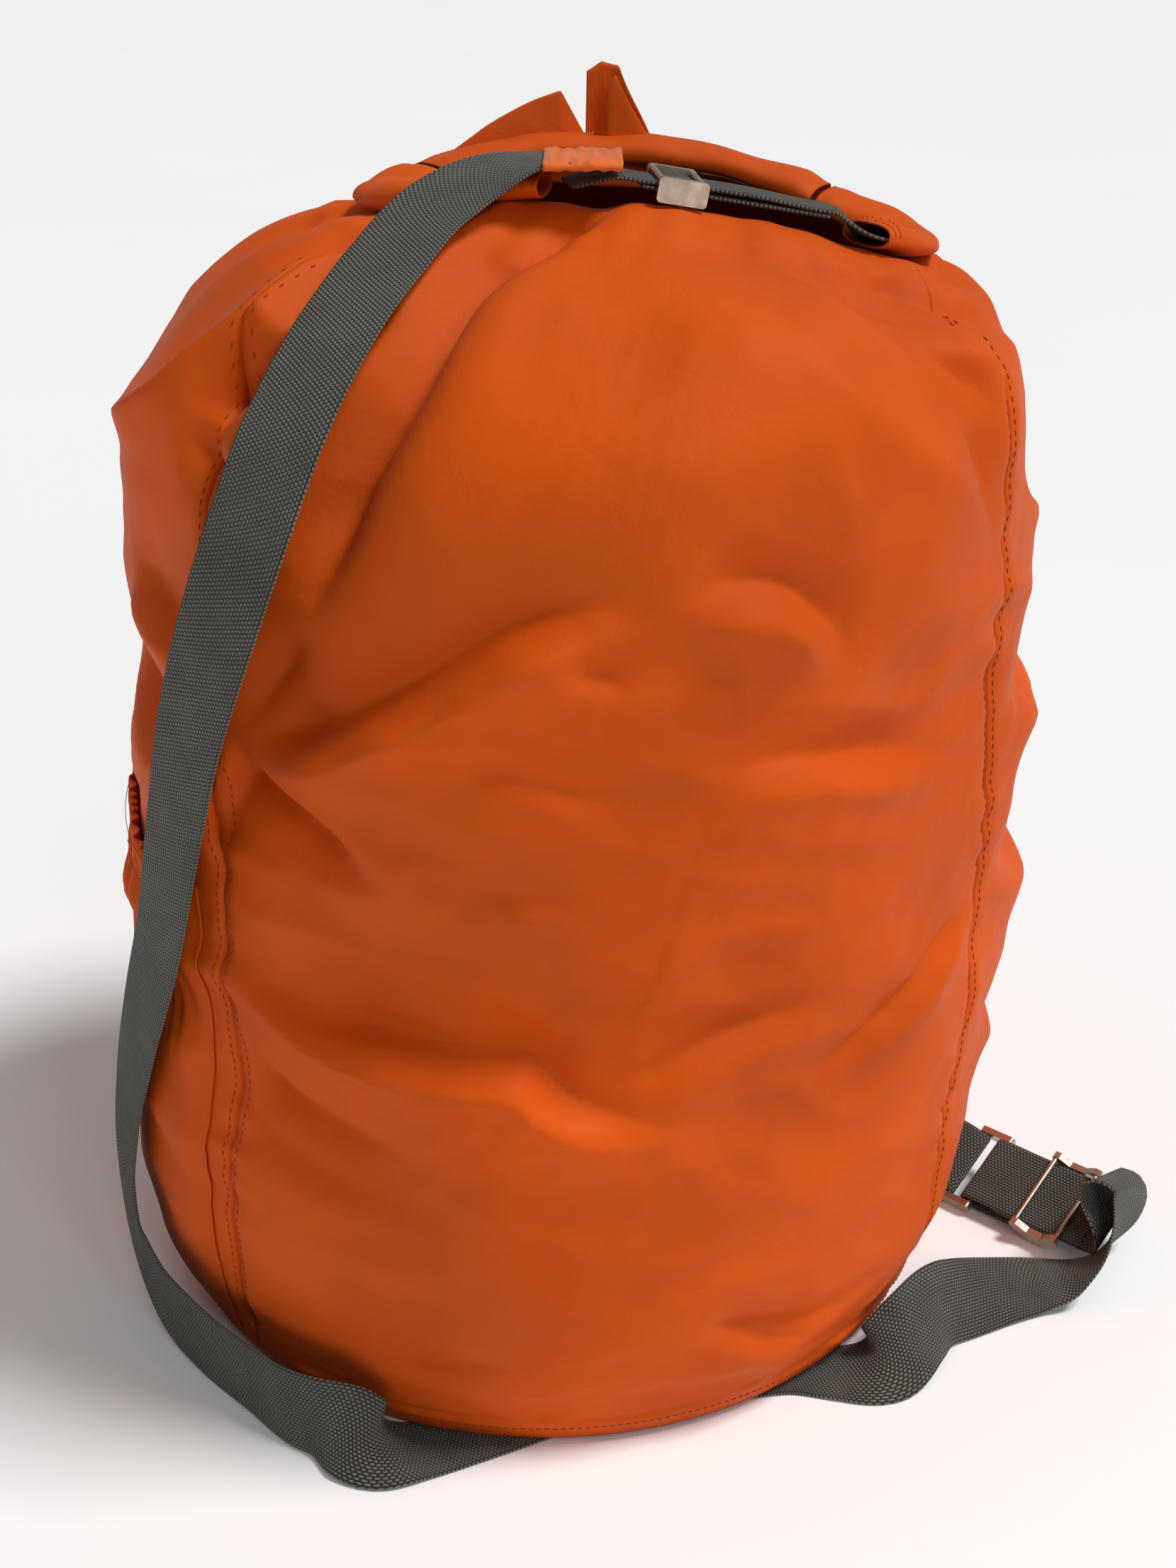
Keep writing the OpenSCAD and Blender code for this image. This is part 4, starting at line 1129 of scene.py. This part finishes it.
def casing_tube(name, a0, a1, material, cad, seed):
    """Sewn casing round the closing webbing: a flattened tube along the mouth's edge. Its section is a
    rounded rectangle whose half-height swells and gathers with waves of the angle."""
    count = int((a1 - a0) * 1.5) + 2
    a = np.radians(np.linspace(a0, a1, count))
    turn = np.linspace(0, TAU, 33)[:-1]
    edge = mouth_edge(a, 0, CASING_UP)
    along = unit(np.gradient(edge, axis=0))
    side = unit(np.cross(along, [0, 0, 1]))
    rise = np.cross(side, along)
    s = np.linspace(0, 1, count)[:, None]
    gather = waves(s * (a1 - a0) / 60, turn[None, :] * 0.12, seed, 8, 0.25, 1.1)
    ends = smoothstep(s / 0.06) * smoothstep((1 - s) / 0.06)
    wide = CASING_W * (1 + 0.05 * gather)
    tall = CASING_H * (1 + 0.16 * gather * ends + 0.4 * ends * np.maximum(np.sin(turn), 0)[None, :])
    x, y = rounded_section(turn, 0.7, 0.8)
    points = edge[:, None] + (wide * x)[..., None] * side[:, None] + (tall * y)[..., None] * rise[:, None]
    length = np.concatenate([[0], np.cumsum(np.linalg.norm(np.diff(edge, axis=0), axis=1))])
    uvs = np.stack(np.broadcast_arrays(length[:, None], turn[None, :] * 13 * MM), -1)
    faces = grid_faces(count, 32, wrap=True)
    tube = mesh_object(name, points, faces, uvs)
    centre = points.mean(1)
    probe = points[count // 2, 0] - centre[count // 2]
    if np.dot(tube.data.polygons[(count // 2) * 32].normal, probe) < 0:
        tube.data.flip_normals()
    finish_cloth(tube, 0.8 * MM, material, [cad])
    return points


def collar_sheet(name, plan, heights, lean, cad, material):
    """Cloth standing up from the casing: a plan line of [x, y, foot height] swept up to its top edge,
    leaning back by lean and waved by a small sine; the foot sinks behind the casing."""
    t = np.linspace(0, 1, 90)
    plan = np.array(plan, float)
    knots = np.linspace(0, 1, len(plan))
    base = curve(t, knots, plan[:, :2]) * MM
    foot = np.interp(t, knots, plan[:, 2]) * MM
    top = np.interp(t, np.linspace(0, 1, len(heights)), heights) * MM
    r = np.linspace(0, 1, 30)[:, None]
    z = foot + (top - foot) * r
    way = unit(np.gradient(base, axis=0))
    wave = 1.6 * MM * np.sin(5 * t + 3 * r) * r
    x = base[:, 0] + (-way[:, 1]) * wave
    y = base[:, 1] + way[:, 0] * wave + lean * MM * r**1.3
    points = np.stack(np.broadcast_arrays(x, y, z), -1)
    run = np.concatenate([[0], np.cumsum(np.linalg.norm(np.diff(base, axis=0), axis=1))])
    uvs = np.stack(np.broadcast_arrays(run[None, :], z), -1)
    sheet = mesh_object(name, points, grid_faces(30, 90), uvs)
    finish_cloth(sheet, THIN_CLOTH, material, [cad], offset=0.0)


def run_point(x, lift=0.0):
    """Point on the straight run of the closing webbing, x metres from its left end and lifted off its
    middle; then the run's direction, its upward normal and its length."""
    start = mouth_edge(np.radians(249.0), 0, CASING_UP + 7 * MM)
    end = mouth_edge(np.radians(324.0), 0, CASING_UP + 7 * MM)
    way = unit(end - start)
    up = np.cross(unit(np.cross(way, [0, 0, 1])), way)
    return start + x * way + lift * up, way, up, float(np.linalg.norm(end - start))


class BAG_OT_mouth(bpy.types.Operator):
    """Casing, collar, closing webbing and tab at the mouth"""

    bl_idname = "bag.mouth"
    bl_label = "Mouth"

    def execute(self, context):
        m = finishes(context.scene.bag)
        casing_tube("casing_cloth_left", 150, 247, m["shell"], "casing_left", 21)
        casing_tube("casing_cloth_back", 46, 148, m["shell"], "casing_back", 22)
        right = casing_tube("casing_cloth_right", -35, 44, m["shell"], "casing_right", 23)
        collar_sheet("collar_flap", [[-62, 14, 530], [-38, 30, 530], [-12, 38, 528], [20, 41, 526]],
                     [528, 534, 540, 546, 552, 557, 562, 566, 544], 4, "collar_left", m["shell"])
        collar_sheet("collar_peak",
                     [[21, 36, 526], [27, 33.5, 526], [32, 34, 526], [51, 42, 524], [34, 48, 526],
                      [26, 48, 526], [19, 46, 526]],
                     [543, 560, 574, 532, 576, 578, 574], 3, "collar_right", m["shell"])
        layer = WEB_T / 2 + 0.15 * MM
        _, _, up, run = run_point(0)
        places = [mouth_edge(np.radians(252.0), 0, CASING_UP)]
        places += [run_point(x, layer)[0] for x in (0.028, 0.034)]
        places += [run_point(x, layer + 1.2 * MM)[0] for x in (0.066, run - 0.05)]
        places += [run_point(run - 0.022, layer)[0], run_point(run - 0.016, layer)[0]]
        places += [mouth_edge(np.radians(a), 0, CASING_UP) for a in (324, 336, 348, 360)]
        faces = [[0, 0, 1]] * len(places)
        path, face = dense(places, faces, 2 * MM)
        ribbon("closing_ribbon", path, face, CLOSER_W, m["closer"], "closing_webbing", "bag")
        places = [run_point(x, -layer)[0] for x in (0.036, 0.06, 0.1, run - 0.018)]
        path, face = dense(places, [up] * 4, 2 * MM)
        ribbon("closing_ribbon_tail", path, face, CLOSER_W, m["closer"], "closing_tail", "bag")
        self.tab(m)
        rows = []
        for k in (3, 6):
            ring = right[k, 2:16]
            rows.append((ring, unit(ring - right[k].mean(0))))
        stitches("casing_stitches", rows, 1.6 * MM, THREAD_R, m["thread"])
        return {"FINISHED"}

    def tab(self, m):
        """Cloth sleeve over the strap's upper end: a flat tube with rounded edges and a slack upper side."""
        x = np.linspace(2, 34, 34)
        turn = np.linspace(0, TAU, 41)[:-1]
        w = 22.3 + 0.5 * np.sin(x / 3.1)
        sag = 1 + 0.25 * waves(x[:, None] / 40, turn[None, :] / 8, 31, 7, 0.1, 0.5)
        c, d = rounded_section(turn, 0.6, 0.6)
        y = -59 + (x - 2) * 0.05
        points = np.stack([
            np.broadcast_to(x[:, None], (34, 40)), y[:, None] + w[:, None] * c, 551 + 2.5 * sag * d], -1) * MM
        uvs = np.stack(np.broadcast_arrays(x[:, None] * MM, turn[None, :] * 14 * MM), -1)
        tab = mesh_object("tab_cloth", points, grid_faces(34, 40, wrap=True)[:, ::-1], uvs)
        if tab.data.polygons[17 * 40 + 10].normal.z < 0:
            tab.data.flip_normals()
        finish_cloth(tab, 0.6 * MM, m["tab"], ["mouth_tab"])


class BAG_OT_anchor(bpy.types.Operator):
    """Loop of webbing that holds the ring at the base's seam"""

    bl_idname = "bag.anchor"
    bl_label = "Anchor loop"

    def execute(self, context):
        m = finishes(context.scene.bag)
        foot, _ = on_shell(13, 15 * MM, 0.5 * MM)
        foot = foot + unit(foot * [1, 1, 0]) * 0.3 * MM
        pull = unit(foot - HINGE)
        wide = unit(np.array([-math.sin(math.radians(13)), math.cos(math.radians(13)), 0.25]))
        lift = unit(np.cross(wide, pull))
        bend = arc(0, 3.3 * MM, 90, -90, 9)
        start = foot - pull * 2 * MM
        half = 0.9 * MM * lift
        places = [start + half] + [HINGE + x * WAY + z * UP for x, z in bend] + [start - half]
        widths = [wide] + [SIDE] * 9 + [wide]
        ways = unit(np.gradient(np.array(places), axis=0))
        faces = [np.cross(t, -w) for t, w in zip(ways, widths)]
        path, face = dense(places, faces, 1.2 * MM)
        ribbon("anchor_ribbon", path, face, STRAP_W, m["strap"], "anchor_loop", "bag")
        return {"FINISHED"}


class BAG_OT_seams(bpy.types.Operator):
    """Topstitching beside the upright seams and above the hem"""

    bl_idname = "bag.seams"
    bl_label = "Seam stitches"

    def execute(self, context):
        m = finishes(context.scene.bag)
        rows = []
        z = np.arange(18, 500, 4.2) * MM
        for seam in SEAMS:
            for beside in (-1.1, 1.1):
                rows.append(on_shell(np.full(len(z), seam + beside), z, 0.15 * MM))
        stitches("seam_stitches", rows, 2.6 * MM, THREAD_R, m["thread"])
        angles = np.arange(-180, 180, 1.1)
        hem = [on_shell(angles, np.full(len(angles), 11.0) * MM, 0.15 * MM)]
        stitches("hem_stitches", hem, 2.6 * MM, THREAD_R, m["thread"])
        return {"FINISHED"}


class BAG_OT_metal(bpy.types.Operator):
    """Plating of the ring and the sliders, and thread of the bar tacks"""

    bl_idname = "bag.metal"
    bl_label = "Buckles"

    def execute(self, context):
        m = finishes(context.scene.bag)
        for name in ("mouth_slider", "strap_slider", "strap_ring"):
            use_on_cad(name, m["metal"])
        for name in ("anchor_stitching", "fold_stitching"):
            use_on_cad(name, m["web_thread"])
        return {"FINISHED"}


STEPS = (BAG_OT_stage, BAG_OT_strap, BAG_OT_buckle_webbing, BAG_OT_shell, BAG_OT_base, BAG_OT_pocket,
         BAG_OT_mouth, BAG_OT_anchor, BAG_OT_seams, BAG_OT_metal)


class BAG_PT_panel(bpy.types.Panel):
    """Lists the bag's operators and settings"""

    bl_idname = "BAG_PT_panel"
    bl_label = "Bag"
    bl_space_type = "VIEW_3D"
    bl_region_type = "UI"
    bl_category = "Bag"

    def draw(self, context):
        for name in BagSettings.__annotations__:
            self.layout.prop(context.scene.bag, name)
        for step in STEPS:
            self.layout.operator(step.bl_idname)


CLASSES = (BagSettings, *STEPS, BAG_PT_panel)


def register():
    for item in CLASSES:
        bpy.utils.register_class(item)
    bpy.types.Scene.bag = bpy.props.PointerProperty(type=BagSettings)


def unregister():
    del bpy.types.Scene.bag
    for item in reversed(CLASSES):
        bpy.utils.unregister_class(item)


def main():
    register()
    for step in STEPS:
        family, name = step.bl_idname.split(".")
        getattr(getattr(bpy.ops, family), name)()


if __name__ == "__main__":
    main()
